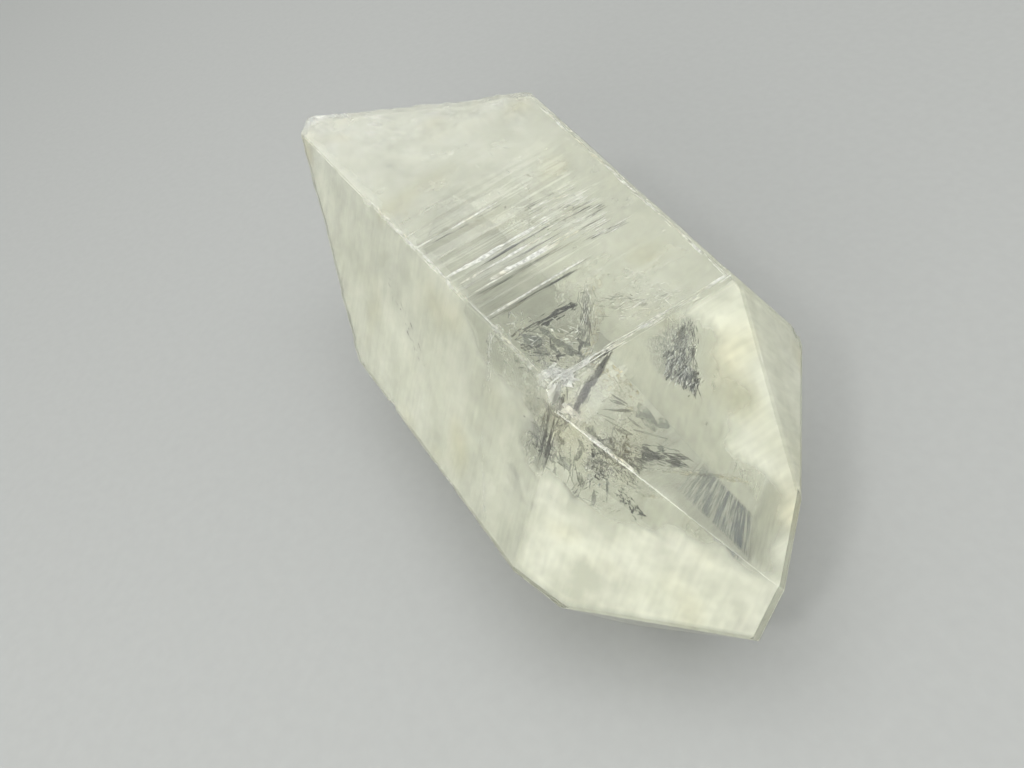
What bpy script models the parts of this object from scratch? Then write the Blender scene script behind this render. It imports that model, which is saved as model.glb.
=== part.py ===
"""Single quartz crystal: six-sided prism, rhombohedral tip and a broken root.

The crystal lies on one prism face. Its long axis (the crystal's c axis) runs along X with the tip at +X.
Prism faces m1 to m6 are numbered around the axis: m1 is on top, m2 and m3 look towards -Y, m4 is the face
it rests on, m5 and m6 look towards +Y. Tip face r1 rises from m1, r2 from m2, and so on.

Lengths are millimetres in the named values and metres in the finished mesh. The origin is the middle of
the bounding box in plan, at the height of the face the crystal rests on.
"""
import math

import bmesh
import bpy
from mathutils import Matrix, Vector, noise

MM = 0.001
CUT_GAP = 1e-5                           # points this near (mm) to a cutting plane count as on it

# --- Crystal faces: distance from the long axis and inward lean towards the tip -----------------------
AXIS_HEIGHT = 26.5                       # the resting face m4 lies this far under the axis
FACE_STEP = math.radians(60.0)           # prism faces repeat every 60 degrees
TIP_ANGLE = math.radians(51.79)          # between the long axis and the normal of a tip face
PRISM_FACES = {                          # distance (mm) at the shoulder, lean (degrees)
    1: (26.5, -0.9),
    2: (26.5, 0.4),
    3: (28.9, 1.8),
    4: (AXIS_HEIGHT, 0.0),
    5: (20.1, 0.0),
    6: (28.2, 5.3),
}
TIP_FACES = {1: 20.8, 2: 22.3, 3: 28.3, 4: 26.4, 5: 17.5, 6: 22.7}   # distance (mm) from the axis point

# --- Broken root: two rough surfaces that meet in a ridge at the back ---------------------------------
ROOT_LENGTH = 130.0                      # uncut prism behind the shoulder
BREAKS = (                               # outward normal, distance (mm) from the axis point, noise seed
    ((-0.68, 0.70, -0.165), 68.9, 27.0),
    ((-0.50, -0.654, -0.47), 59.4, 41.0),
)
BREAK_SPAN = 110.0                       # side of the square rough surface
BREAK_CELLS = 56                         # cells along that side
BREAK_DEPTH = 120.0                      # how far the cutting block reaches behind the surface
SWELL = (26.0, 2.3)                      # wavelength and height of the broad waves
HACKLE = (8.5, 1.0)                      # wavelength and height of the sharp ridges
HACKLE_STRETCH = 0.6                     # the ridges are longer one way, by one over this
GRAIN = (3.4, 0.35)                      # wavelength and height of the fine roughness
HACKLE_SEED, GRAIN_SEED = 3.0, 5.0       # multiples of the seed that keep the three patterns apart
SHELL_RIPPLE = (5.5, 0.30)               # spacing and height of the ripples around the struck point
SHELL_POINT = (6.0, 30.0)                # how far the struck point sways with the seed, and its height

# --- Growth ledges on the prism faces: shallow saw-tooth steps that run across the axis ---------------
LEDGE_BLOCKS = (                         # face, start, end, low side, high side, depth, first seed
    (1, 0.8, 46.0, -22.0, 4.0, 0.34, 1),
    (1, 1.6, 62.0, 4.3, 24.0, 0.30, 2),
    (1, 50.0, 96.0, -22.0, 4.0, 0.16, 3),
    (2, 2.0, 70.0, 2.0, 22.0, 0.26, 4),
    (3, 6.0, 52.0, -22.0, 22.0, 0.22, 5),
    (4, 3.0, 44.0, -20.0, 20.0, 0.18, 6),
    (5, 3.0, 66.0, -22.0, 22.0, 0.26, 7),
    (6, 3.0, 64.0, -24.0, 24.0, 0.26, 8),
)
LEDGE_LENGTHS = (1.1, 3.6)               # shortest and longest tread
LEDGE_GAP = (0.25, 1.9)                  # flat strip left between two treads
LEDGE_RISE = 1.2                         # the cutting slab stands this far above the face
LEDGE_HEEL = 0.02                        # the end of a slab that doesn't dig in clears the face by this
LEDGE_LEAST = 0.45                       # depth of the shallowest step, as a share of the block's depth
LEDGE_REVERSED = 0.35                    # share of the steps that face the other way
LENGTH_STRIDES = (1.7, 4.3, 0.5)         # walk through the noise for the length of each step
DEPTH_STRIDES = (2.9, 7.1, 5.5)          # walk through the noise for its depth

# --- Chips: small conchoidal scoops on the long edges -------------------------------------------------
CHIPS = (                                # two faces, distance behind the shoulder, length, depth (mm)
    (1, 2, -0.6, 3.4, 1.3),
    (1, 2, 3.3, 2.6, 0.7),
    (1, 2, 9.0, 3.4, 0.5),
    (1, 2, 33.0, 4.4, 0.5),
    (1, 2, 52.0, 3.6, 0.6),
    (1, 2, 71.0, 5.6, 0.8),
    (2, 3, 30.0, 3.2, 0.4),
    (2, 3, 47.0, 4.6, 0.9),
    (3, 4, 18.0, 4.6, 0.8),
    (4, 5, 12.0, 4.0, 0.7),
    (4, 5, 38.0, 5.4, 0.7),
    (5, 6, -0.4, 3.6, 1.5),
    (5, 6, 6.0, 4.2, 0.7),
    (6, 1, 27.0, 3.8, 0.5),
)
CHIP_DETAIL = 2                          # subdivisions of a scoop
CHIP_LUMPS = 0.16                        # unevenness of a scoop, as a share of its radius
CHIP_LUMP_STEP = 1.7                     # how fast that unevenness changes over a scoop
CHIP_OVERHANG = 0.45                     # share of a scoop that lies outside the edge
CHIP_WIDTH = 1.5                         # half width of a scoop, as a share of its radius
CHIP_SKEW = math.radians(24.0)           # largest skew of a scoop to its edge
CHIP_SKEW_STEP = 2.4                     # how fast the skew changes from chip to chip

SLIVER = 0.03                            # edges shorter than this (mm) are welded shut

CRYSTAL_NAME = "quartz_point"
CRYSTAL_COLOR = (0.80, 0.83, 0.76, 1.0)
CRYSTAL_ROUGHNESS = 0.12
CRYSTAL_IOR = 1.544


def clear_scene():
    """Remove every object, so the script can be run again in an open file."""
    for old in list(bpy.data.objects):
        bpy.data.objects.remove(old, do_unlink=True)


def make_collection(name):
    """Return a new collection that is linked to the scene."""
    collection = bpy.data.collections.new(name)
    bpy.context.scene.collection.children.link(collection)
    return collection


def prism_plane(face):
    """Return the outward normal and the distance (mm) from the axis point of a prism face."""
    distance, lean = PRISM_FACES[face]
    turn = FACE_STEP * (face - 1)
    outward = Vector((0.0, -math.sin(turn), math.cos(turn)))
    lean = math.radians(lean)
    return outward * math.cos(lean) + Vector((math.sin(lean), 0.0, 0.0)), distance


def tip_plane(face):
    """Return the outward normal and the distance (mm) from the axis point of a tip face."""
    turn = FACE_STEP * (face - 1)
    outward = Vector((0.0, -math.sin(turn), math.cos(turn)))
    normal = outward * math.sin(TIP_ANGLE) + Vector((math.cos(TIP_ANGLE), 0.0, 0.0))
    return normal, TIP_FACES[face]


def edge_point(face_a, face_b, behind):
    """Return the point (mm) where two prism faces meet, a distance behind the shoulder."""
    (normal_a, distance_a), (normal_b, distance_b) = prism_plane(face_a), prism_plane(face_b)
    left = distance_a + normal_a.x * behind
    right = distance_b + normal_b.x * behind
    scale = normal_a.y * normal_b.z - normal_a.z * normal_b.y
    y = (left * normal_b.z - right * normal_a.z) / scale
    z = (normal_a.y * right - normal_b.y * left) / scale
    return Vector((-behind, y, z))


def add_object(name, bm, collection):
    """Turn a bmesh in millimetres into an object in metres."""
    bmesh.ops.scale(bm, vec=(MM, MM, MM), verts=bm.verts)
    mesh = bpy.data.meshes.new(name)
    bm.to_mesh(mesh)
    bm.free()
    obj = bpy.data.objects.new(name, mesh)
    collection.objects.link(obj)
    return obj


def add_cutter(name, bm, collection):
    """Turn a bmesh into a hidden cutting object."""
    bmesh.ops.recalc_face_normals(bm, faces=bm.faces)
    cutter = add_object(name, bm, collection)
    cutter.hide_render = True
    cutter.display_type = "WIRE"
    return cutter


def slice_away(bm, normal, distance):
    """Cut off what lies outside a plane and close the cut with one flat face."""
    geometry = bm.verts[:] + bm.edges[:] + bm.faces[:]
    result = bmesh.ops.bisect_plane(
        bm, geom=geometry, dist=CUT_GAP, plane_co=normal * distance, plane_no=normal, clear_outer=True)
    rim = [item for item in result["geom_cut"] if isinstance(item, bmesh.types.BMEdge)]
    if rim:
        bmesh.ops.holes_fill(bm, edges=rim)


def build_crystal(collection):
    """Cut a block down to the six prism faces and the tip faces."""
    bm = bmesh.new()
    bmesh.ops.create_cube(bm, size=2.0 * ROOT_LENGTH)
    for face in PRISM_FACES:
        slice_away(bm, *prism_plane(face))
    for face in TIP_FACES:
        slice_away(bm, *tip_plane(face))
    return add_object(CRYSTAL_NAME, bm, collection)


def break_height(x, y, seed):
    """Return the height (mm) of a broken surface: swells, sharp hackles, shell ripples and grain."""
    swell = noise.noise(Vector((x, y, seed)) / SWELL[0]) * SWELL[1]
    fold = noise.noise(Vector((x, y * HACKLE_STRETCH, seed * HACKLE_SEED)) / HACKLE[0])
    hackle = (0.5 - abs(fold) * 2.0) * HACKLE[1]
    grain = noise.noise(Vector((x, y, seed * GRAIN_SEED)) / GRAIN[0]) * GRAIN[1]
    reach = math.hypot(x - SHELL_POINT[0] * math.cos(seed), y - SHELL_POINT[1])
    ripple = SHELL_RIPPLE[1] * math.cos(2.0 * math.pi * reach / SHELL_RIPPLE[0])
    return swell + hackle + grain + ripple


def build_break_cutter(normal, distance, seed, collection):
    """Make a block whose inner side is a rough, shell-like broken surface."""
    bm = bmesh.new()
    bmesh.ops.create_grid(
        bm, x_segments=BREAK_CELLS, y_segments=BREAK_CELLS, size=BREAK_SPAN / 2.0)
    for vert in bm.verts:
        vert.co.z = break_height(vert.co.x, vert.co.y, seed)
    extruded = bmesh.ops.extrude_face_region(bm, geom=bm.faces[:])
    for item in extruded["geom"]:
        if isinstance(item, bmesh.types.BMVert):
            item.co.z = BREAK_DEPTH
    facing = Vector(normal).normalized()
    middle = break_middle(facing, distance)
    placed = Matrix.Translation(middle) @ facing.to_track_quat("Z", "Y").to_matrix().to_4x4()
    bmesh.ops.transform(bm, matrix=placed, verts=bm.verts)
    return add_cutter(f"break_cutter_{int(seed)}", bm, collection)


def break_middle(facing, distance):
    """Return the point of a break plane that lies on the long axis."""
    return Vector((distance / facing.x, 0.0, 0.0))


def build_ledge_cutter(face, blocks, collection):
    """Make tilted slabs that each cut one saw-tooth step into a prism face."""
    normal, distance = prism_plane(face)
    across = Vector((1.0, 0.0, 0.0)).cross(normal).normalized() * -1.0
    back = normal.cross(across).normalized()
    back = back if back.x < 0.0 else -back
    bm = bmesh.new()
    for start, end, low, high, depth, seed in blocks:
        for behind, length, dip in ledge_steps(start, end, depth, seed):
            corner = normal * distance + back * behind
            add_slab(bm, corner, (back, across, normal), (length, low, high), dip)
    return add_cutter(f"ledge_cutter_m{face}", bm, collection)


def random_share(index, seed, strides):
    """Return a random share from 0 to 1 for one step of a block."""
    return 0.5 + 0.5 * noise.cell(Vector((index * strides[0], seed * strides[1], strides[2])))


def ledge_steps(start, end, depth, seed):
    """Yield the place, length and signed depth of each step between two distances behind the shoulder."""
    behind, index = start, 0
    while behind < end:
        wobble = random_share(index, seed, LENGTH_STRIDES)
        spread = random_share(index, seed, DEPTH_STRIDES)
        length = LEDGE_LENGTHS[0] + (LEDGE_LENGTHS[1] - LEDGE_LENGTHS[0]) * wobble * wobble
        facing = 1.0 if spread > LEDGE_REVERSED else -1.0
        dip = depth * (LEDGE_LEAST + (1.0 - LEDGE_LEAST) * spread) * facing
        yield behind, length, dip
        behind += length + LEDGE_GAP[0] + (LEDGE_GAP[1] - LEDGE_GAP[0]) * spread
        index += 1


def add_slab(bm, corner, axes, size, dip):
    """Add one slab on a face, tilted so that one end digs in by the depth of its step."""
    back, across, normal = axes
    length, low, high = size
    slab = bmesh.ops.create_cube(bm, size=1.0)["verts"]
    bmesh.ops.scale(bm, vec=(length, high - low, LEDGE_RISE), verts=slab)
    bmesh.ops.translate(bm, vec=(0.0, (high + low) / 2.0, LEDGE_RISE / 2.0), verts=slab)
    for vert in slab:
        if vert.co.z < LEDGE_RISE / 2.0:
            vert.co.z = -abs(dip) if vert.co.x * dip > 0.0 else LEDGE_HEEL
    frame = Matrix((back, across, normal)).transposed().to_4x4()
    placed = Matrix.Translation(corner + back * (length / 2.0)) @ frame
    bmesh.ops.transform(bm, matrix=placed, verts=slab)


def build_chip_cutter(collection):
    """Make one scoop for each chip, standing half outside its edge."""
    bm = bmesh.new()
    for index, (face_a, face_b, behind, length, depth) in enumerate(CHIPS):
        outward = (prism_plane(face_a)[0] + prism_plane(face_b)[0]).normalized()
        radius = depth / (1.0 - CHIP_OVERHANG)
        scoop = bmesh.ops.create_icosphere(bm, subdivisions=CHIP_DETAIL, radius=1.0)["verts"]
        for vert in scoop:
            lump = noise.noise(vert.co * CHIP_LUMP_STEP + Vector((index, 0.0, 0.0)))
            vert.co *= 1.0 + CHIP_LUMPS * lump
        bmesh.ops.scale(bm, vec=(length / 2.0, radius * CHIP_WIDTH, radius), verts=scoop)
        middle = edge_point(face_a, face_b, behind) + outward * radius * CHIP_OVERHANG
        placed = Matrix.Translation(middle) @ chip_turn(outward, index)
        bmesh.ops.transform(bm, matrix=placed, verts=scoop)
    return add_cutter("chip_cutter", bm, collection)


def chip_turn(outward, index):
    """Return the turn that lays a scoop along its edge, skewed a little from chip to chip."""
    skew = CHIP_SKEW * math.sin(index * CHIP_SKEW_STEP)
    side = outward.cross(Vector((1.0, 0.0, 0.0))).normalized()
    along = side.cross(outward).normalized()
    frame = Matrix((along, side, outward)).transposed().to_4x4()
    return frame @ Matrix.Rotation(skew, 4, "Z")


def cut(obj, cutter):
    """Take a cutter away from an object with an exact Boolean."""
    modifier = obj.modifiers.new(cutter.name, "BOOLEAN")
    modifier.operation = "DIFFERENCE"
    modifier.solver = "EXACT"
    modifier.object = cutter


def bake_modifiers(obj):
    """Replace an object's mesh with its evaluated one."""
    depsgraph = bpy.context.evaluated_depsgraph_get()
    mesh = bpy.data.meshes.new_from_object(obj.evaluated_get(depsgraph))
    obj.modifiers.clear()
    obj.data = mesh
    mesh.name = obj.name


def clean_and_rest(obj):
    """Weld hairline slivers and put the origin under the middle of the crystal."""
    bm = bmesh.new()
    bm.from_mesh(obj.data)
    bmesh.ops.remove_doubles(bm, verts=bm.verts, dist=SLIVER * MM)
    bmesh.ops.dissolve_degenerate(bm, dist=SLIVER * MM, edges=bm.edges)
    corners = [[vert.co[axis] for vert in bm.verts] for axis in range(3)]
    middle = [(min(values) + max(values)) / 2.0 for values in corners]
    shift = Vector((-middle[0], -middle[1], -min(corners[2])))
    bmesh.ops.translate(bm, vec=shift, verts=bm.verts)
    bm.to_mesh(obj.data)
    bm.free()


def make_material(name):
    """Return the clear quartz material."""
    material = bpy.data.materials.new(name)
    material.use_nodes = True
    shader = material.node_tree.nodes["Principled BSDF"]
    shader.inputs["Base Color"].default_value = CRYSTAL_COLOR
    shader.inputs["Metallic"].default_value = 0.0
    shader.inputs["Roughness"].default_value = CRYSTAL_ROUGHNESS
    shader.inputs["IOR"].default_value = CRYSTAL_IOR
    shader.inputs["Transmission Weight"].default_value = 1.0
    return material


def main():
    """Build the crystal."""
    clear_scene()
    parts = make_collection(CRYSTAL_NAME)
    cutters = make_collection("cutters")
    crystal = build_crystal(parts)
    for normal, distance, seed in BREAKS:
        cut(crystal, build_break_cutter(normal, distance, seed, cutters))
    for face in PRISM_FACES:
        blocks = [block[1:] for block in LEDGE_BLOCKS if block[0] == face]
        cut(crystal, build_ledge_cutter(face, blocks, cutters))
    cut(crystal, build_chip_cutter(cutters))
    bake_modifiers(crystal)
    clean_and_rest(crystal)
    crystal.data.materials.clear()
    crystal.data.materials.append(make_material("clear quartz"))


main()
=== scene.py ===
"""Dresses one natural quartz point: a clear, striated prism with a rhombohedral tip and a broken root.

The crystal lies on a prism face with its long axis along X and its tip at +X. Sizes are in millimetres
in the fields and in metres in the finished meshes.
"""
import logging
import math
from dataclasses import dataclass
from enum import Enum

import bmesh
import bpy
import numpy as np
from mathutils import Matrix, Vector


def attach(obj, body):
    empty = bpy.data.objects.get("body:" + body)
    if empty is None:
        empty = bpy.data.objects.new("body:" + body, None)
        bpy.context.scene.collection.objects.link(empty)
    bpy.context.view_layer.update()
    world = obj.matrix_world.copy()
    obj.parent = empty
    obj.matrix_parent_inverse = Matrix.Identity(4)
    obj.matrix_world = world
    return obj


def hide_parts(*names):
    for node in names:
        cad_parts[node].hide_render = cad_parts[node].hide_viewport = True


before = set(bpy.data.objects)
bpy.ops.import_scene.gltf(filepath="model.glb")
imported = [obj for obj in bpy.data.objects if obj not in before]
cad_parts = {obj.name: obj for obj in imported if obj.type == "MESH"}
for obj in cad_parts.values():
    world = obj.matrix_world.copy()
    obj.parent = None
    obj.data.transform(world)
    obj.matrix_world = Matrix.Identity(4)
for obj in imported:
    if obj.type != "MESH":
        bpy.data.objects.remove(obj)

MM = 0.001
CRYSTAL_NODE = "quartz_point"
BODY = "root"
FACE_STEP = math.radians(60.0)      # the prism faces repeat every 60 degrees
TIP_ANGLE = math.radians(51.79)     # between the long axis and the normal of a tip face
AXIS_POINT = np.array([43.096, 0.857, 26.5])   # where the shoulder of the top face crosses the axis
STEP_LAYERS = ((1.0, 1.0, 0.65), (0.45, 0.55, 0.35))   # shares of the tread, the strip and the depth
Place = tuple[float, float, float]

log = logging.getLogger("quartz")


# --- Whole-array helpers ------------------------------------------------------------------------------


def hashed(cells_u: np.ndarray, cells_v: np.ndarray, seed: float) -> np.ndarray:
    """Give each lattice cell its own fixed value.

    The value is the fraction of a large sine, sin(12.99 u + 78.23 v + 37.72 seed) * 43758.55.

    Args:
        cells_u: Whole-number cell places along u.
        cells_v: Whole-number cell places along v.
        seed: Number that picks the pattern.

    Returns:
        Values from 0 to 1, one for each cell.
    """
    mixed = np.sin(cells_u * 12.9898 + cells_v * 78.233 + seed * 37.719) * 43758.5453
    return mixed - np.floor(mixed)


def smooth_noise(u: np.ndarray, v: np.ndarray, seed: float) -> np.ndarray:
    """Blend the values at the four corners of each lattice cell.

    The blend weight along each side is 3 t^2 - 2 t^3, with t the place inside the cell.

    Args:
        u: First coordinate, in cells.
        v: Second coordinate, in cells.
        seed: Number that picks the pattern.

    Returns:
        Smooth values from -1 to 1.
    """
    cell_u, cell_v = np.floor(u), np.floor(v)
    part_u, part_v = u - cell_u, v - cell_v
    ease_u = part_u * part_u * (3.0 - 2.0 * part_u)
    ease_v = part_v * part_v * (3.0 - 2.0 * part_v)
    low = hashed(cell_u, cell_v, seed) * (1.0 - ease_u) + hashed(cell_u + 1.0, cell_v, seed) * ease_u
    high = (hashed(cell_u, cell_v + 1.0, seed) * (1.0 - ease_u)
            + hashed(cell_u + 1.0, cell_v + 1.0, seed) * ease_u)
    return (low * (1.0 - ease_v) + high * ease_v) * 2.0 - 1.0


def ease(values: np.ndarray, low: float, high: float) -> np.ndarray:
    """Rise smoothly from 0 at low to 1 at high, as 3 t^2 - 2 t^3."""
    part = np.clip((values - low) / (high - low), 0.0, 1.0)
    return part * part * (3.0 - 2.0 * part)


def to_linear(code: str) -> tuple[float, float, float, float]:
    """Turn an sRGB hex colour into a linear one with full alpha."""
    values = [int(code[place:place + 2], 16) / 255.0 for place in (1, 3, 5)]
    red, green, blue = [value / 12.92 if value <= 0.04045 else ((value + 0.055) / 1.055) ** 2.4
                        for value in values]
    return red, green, blue, 1.0


def link_object(name: str, data: bpy.types.ID) -> bpy.types.Object:
    """Make an object from a data block and link it to the scene."""
    obj = bpy.data.objects.new(name, data)
    bpy.context.scene.collection.objects.link(obj)
    return obj


def grid_faces(rows: int, columns: int) -> np.ndarray:
    """List the quads of a grid whose columns close into a ring.

    Args:
        rows: Number of rows of points.
        columns: Number of points in each row.

    Returns:
        An array of four point numbers for each quad, facing away from the ring's middle.
    """
    row = np.arange(rows - 1)[:, None] * columns
    here = np.arange(columns)[None, :]
    after = (here + 1) % columns
    quads = np.stack([row + here, row + after, row + columns + after, row + columns + here], axis=-1)
    return quads.reshape(-1, 4)


# --- The crystal --------------------------------------------------------------------------------------


class Zone(Enum):
    """Kinds of surface on the crystal, as values of its zone attribute."""

    PRISM = 0.0
    TIP = 0.5
    BROKEN = 1.0


class Seed(float, Enum):
    """First numbers of the patterns on the crystal, so that no two of them are alike."""

    WINDOW = 7.0
    FROST = 17.0
    HILLOCK = 30.0
    GROOVE = 40.0
    CHIP = 60.0
    FLAKE = 70.0
    NIBBLE = 80.0
    WEAR = 90.0
    RAGGED = 95.0


@dataclass(frozen=True)
class Growth:
    """Growth steps of one patch of a prism face, in millimetres behind the shoulder and across."""

    face: int
    start: float
    end: float
    low: float
    high: float
    depth: float
    tread: float
    strip: float
    seed: float
    rise: float = 1.2      # mm from the start to full depth
    fade: float = 8.0      # mm from full depth to the end
    rim: float = 0.5       # mm from the sides to full depth
    slip: float = 1.6      # most that a strip is slipped, in treads
    levels: float = 2.5    # levels of tread on each side of the middle one
    flat: float = 0.8      # share of a tread before its riser

    def steps(self, behind: np.ndarray, across: np.ndarray) -> np.ndarray:
        """Give the depth of the growth steps.

        Each of two layers, one twice as fine as the other, is noise n along the axis cut into flat treads
        with short risers: floor(n) + riser(n - floor(n)). Strips across the face are slipped along the axis,
        each by its own amount, which breaks the lines. The depth is the patch's own times 0.5 - 0.22 (the
        sum of the layers).

        Args:
            behind: Distances behind the shoulder.
            across: Places across the face.

        Returns:
            Depths in millimetres, 0 outside the patch.
        """
        inside = ease(behind, self.start, self.start + self.rise)
        inside = inside * (1.0 - ease(behind, self.end - self.fade, self.end))
        inside = inside * ease(across, self.low, self.low + self.rim)
        inside = inside * (1.0 - ease(across, self.high - self.rim, self.high))
        depth = np.zeros_like(across)
        for layer, (tread, width, share) in enumerate(STEP_LAYERS):
            seed = self.seed + 11.0 * layer
            length = self.tread * tread
            block = np.floor(behind / (length * 5.0) + seed * 0.61)
            strip = np.floor(across / (self.strip * width) + 3.0 * hashed(block, block * 0.0, seed))
            slip = self.slip * hashed(strip, block, seed + 1.0)
            level = smooth_noise(behind / length + slip, strip * 0.0, seed + 2.0) * self.levels
            treads = np.floor(level)
            depth = depth + share * (treads + ease(level - treads, self.flat, 1.0))
        return self.depth * inside * np.clip(0.5 - 0.22 * depth, 0.0, 1.0)


@dataclass(frozen=True)
class Ledge:
    """One growth ledge: a short riser, after which the face climbs back slowly towards the tip."""

    face: int
    behind: float
    rise: float
    run: float
    recover: float
    low: float
    high: float
    rim: float = 0.4    # mm from the sides to full depth

    def depth(self, behind: np.ndarray, across: np.ndarray) -> np.ndarray:
        """Give the ledge's depth: rise (1 - d / recover) at distance d ahead of its riser.

        Args:
            behind: Distances behind the shoulder.
            across: Places across the face.

        Returns:
            Depths in millimetres.
        """
        ahead = self.behind - behind
        riser = ease(ahead, -self.run / 2.0, self.run / 2.0)
        return self.rise * riser * np.clip(1.0 - ahead / self.recover, 0.0, 1.0) * self.span(across)

    def span(self, across: np.ndarray) -> np.ndarray:
        """Tell how much of the ledge there is at each place across the face."""
        begun = ease(across, self.low, self.low + self.rim)
        return begun * (1.0 - ease(across, self.high - self.rim, self.high))


@dataclass(frozen=True)
class Chip:
    """A conchoidal scoop on the edge between two prism faces."""

    face_a: int
    face_b: int
    behind: float
    length: float
    depth: float


@dataclass(frozen=True)
class Window:
    """An ellipsoid that is clear of etching and milk, by its middle and its half sizes."""

    middle: Place
    size: Place


@dataclass(frozen=True)
class Break:
    """A broken plane of the root: its normal, its distance from the axis point and its pattern."""

    normal: Place
    distance: float
    seed: float


@dataclass
class QuartzPoint:
    """The crystal's outer surface: six prism faces, six tip faces and the broken root."""

    prism_reach: tuple[float, ...] = (26.5, 26.5, 28.9, 26.5, 20.1, 28.2)   # mm from the axis point
    prism_lean: tuple[float, ...] = (-0.9, 0.4, 1.8, 0.0, 0.0, 5.3)         # degrees, in to the tip
    tip_reach: tuple[float, ...] = (20.8, 22.3, 28.3, 26.4, 17.5, 22.7)
    columns: tuple[int, ...] = (56, 44, 30, 30, 26, 30)                     # columns of points on each side
    edge_crowding: float = 0.12
    root_start: float = -121.0
    fine_start: float = -62.0
    fine_end: float = 2.0
    row_steps: tuple[float, float, float] = (0.60, 0.33, 0.50)              # mm; root, fine rows and tip
    cap_rows: int = 40
    tip_end: float = 32.05
    tip_corners: tuple[float, ...] = (25.22, 31.364)                        # stations of its corners
    weld_gap: float = 0.00001                                               # metres
    sharp_angle: float = math.radians(12.0)
    prism_fade: float = 0.9                                                 # mm before the shoulder
    tip_fade: float = 2.0                                                   # mm after it
    rim_fade: tuple[float, float] = (0.2, 2.5)                              # mm from a tip face's rim
    swell: tuple[float, float, float] = (0.05, 17.0, 14.0)   # mm deep, long and wide, as in the next ones
    hillock: tuple[float, float, float] = (0.03, 7.0, 8.0)
    groove: tuple[float, float, float] = (0.01, 3.1, 30.0)
    groove_slant: float = 0.35
    break_swell: tuple[float, float] = (1.3, 15.0)     # mm high and across
    break_fold: tuple[float, float, float] = (0.9, 5.2, 7.5)
    break_crease: tuple[float, float, float] = (0.35, 2.3, 3.1)
    break_ripple: tuple[float, float] = (0.16, 3.8)    # mm high and from ripple to ripple
    break_grain: tuple[float, float] = (0.07, 0.9)
    struck_point: tuple[float, float] = (14.0, 16.0)
    chip_sink: float = 0.55                            # share of a chip's radius that lies under the edge
    chip_width: float = 1.5                            # radii across the edge
    chip_skew: float = 0.45                            # radians, the most off the edge
    chip_turn: float = 2.4
    flake_sizes: tuple[float, float] = (1.9, 0.7)      # mm along the edge
    flake_least: float = 0.06
    flake_depth: float = 0.26
    worn_stretch: float = 11.0                         # mm from one worn stretch to the next
    wear_reach: float = 3.0
    name: str = "quartz_crystal"
    growth: tuple[Growth, ...] = ()
    ledges: tuple[Ledge, ...] = ()
    chips: tuple[Chip, ...] = ()
    windows: tuple[Window, ...] = ()
    window_rag: tuple[float, float] = (0.25, 4.0)
    window_rim: float = 0.4
    frost_start: tuple[float, ...] = (44.0, 6.0, 16.0, 60.0, 50.0, 36.0)   # mm behind the axis point
    frost_blend: float = 22.0
    frost_shift: float = 9.0
    frost_patch: tuple[float, float] = (6.0, 5.0)
    frost_prism: tuple[float, ...] = (0.06, 0.40, 0.35, 0.05, 0.15, 0.25)
    frost_tip: tuple[float, ...] = (0.22, 0.28, 0.30, 0.20, 0.25, 0.35)
    breaks: tuple[Break, ...] = (
        Break((-0.68, 0.70, -0.165), 68.9, 27.0),
        Break((-0.50, -0.654, -0.47), 59.4, 41.0),
    )

    def reach(self, x: np.ndarray, inset: float = 0.0) -> np.ndarray:
        """Give how far each of the six sides stands from the axis at each station.

        A prism face gives (d - x sin lean) / cos lean, a tip face (t - x cos tip) / sin tip. The nearer
        one counts. A side that its neighbours cut away is moved in to the point where they meet, which
        for sides 60 degrees apart is the sum of their two reaches.

        Args:
            x: Stations along the axis.
            inset: How far all sides are moved in.

        Returns:
            An array of stations by six sides.
        """
        lean = np.radians(self.prism_lean)
        prism = (np.array(self.prism_reach) - x[:, None] * np.sin(lean)) / np.cos(lean)
        tip = (np.array(self.tip_reach) - x[:, None] * math.cos(TIP_ANGLE)) / math.sin(TIP_ANGLE)
        sides = np.minimum(prism, tip) - inset
        for _ in range(8):
            sides = np.minimum(sides, np.roll(sides, 1, axis=1) + np.roll(sides, -1, axis=1))
        return sides

    def shoulders(self) -> np.ndarray:
        """Give the station where each prism face turns into its tip face.

        It solves (d - x sin lean) / cos lean = (t - x cos tip) / sin tip for x.

        Returns:
            Six stations along the axis.
        """
        lean = np.radians(self.prism_lean)
        prism = np.array(self.prism_reach)
        tip = np.array(self.tip_reach)
        slope = math.cos(TIP_ANGLE) / math.sin(TIP_ANGLE) - np.tan(lean)
        return (tip / math.sin(TIP_ANGLE) - prism / np.cos(lean)) / slope

    def stations(self) -> np.ndarray:
        """List the places along the axis where the surface gets a row of points.

        Rows are even inside each of three stretches. Each corner of the ideal crystal pulls the nearest
        row onto itself, so that no edge is rounded off.

        Returns:
            Places in rising order, from the root to just short of the tip.
        """
        root_step, fine_step, tip_step = self.row_steps
        rows = np.concatenate([
            np.arange(self.root_start, self.fine_start, root_step),
            np.arange(self.fine_start, self.fine_end, fine_step),
            np.arange(self.fine_end, self.tip_end, tip_step),
            [self.tip_end],
        ])
        for corner in [*self.shoulders(), *self.tip_corners]:
            rows[np.argmin(np.abs(rows - corner))] = corner
        return np.unique(rows)

    def outward(self) -> tuple[np.ndarray, np.ndarray]:
        """Give each side's outward direction and the direction along it, in the Y and Z plane.

        Returns:
            Two arrays of six sides by two.
        """
        turn = FACE_STEP * np.arange(6)
        out = np.stack([-np.sin(turn), np.cos(turn)], axis=1)
        along = np.stack([-np.cos(turn), -np.sin(turn)], axis=1)
        return out, along

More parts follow.
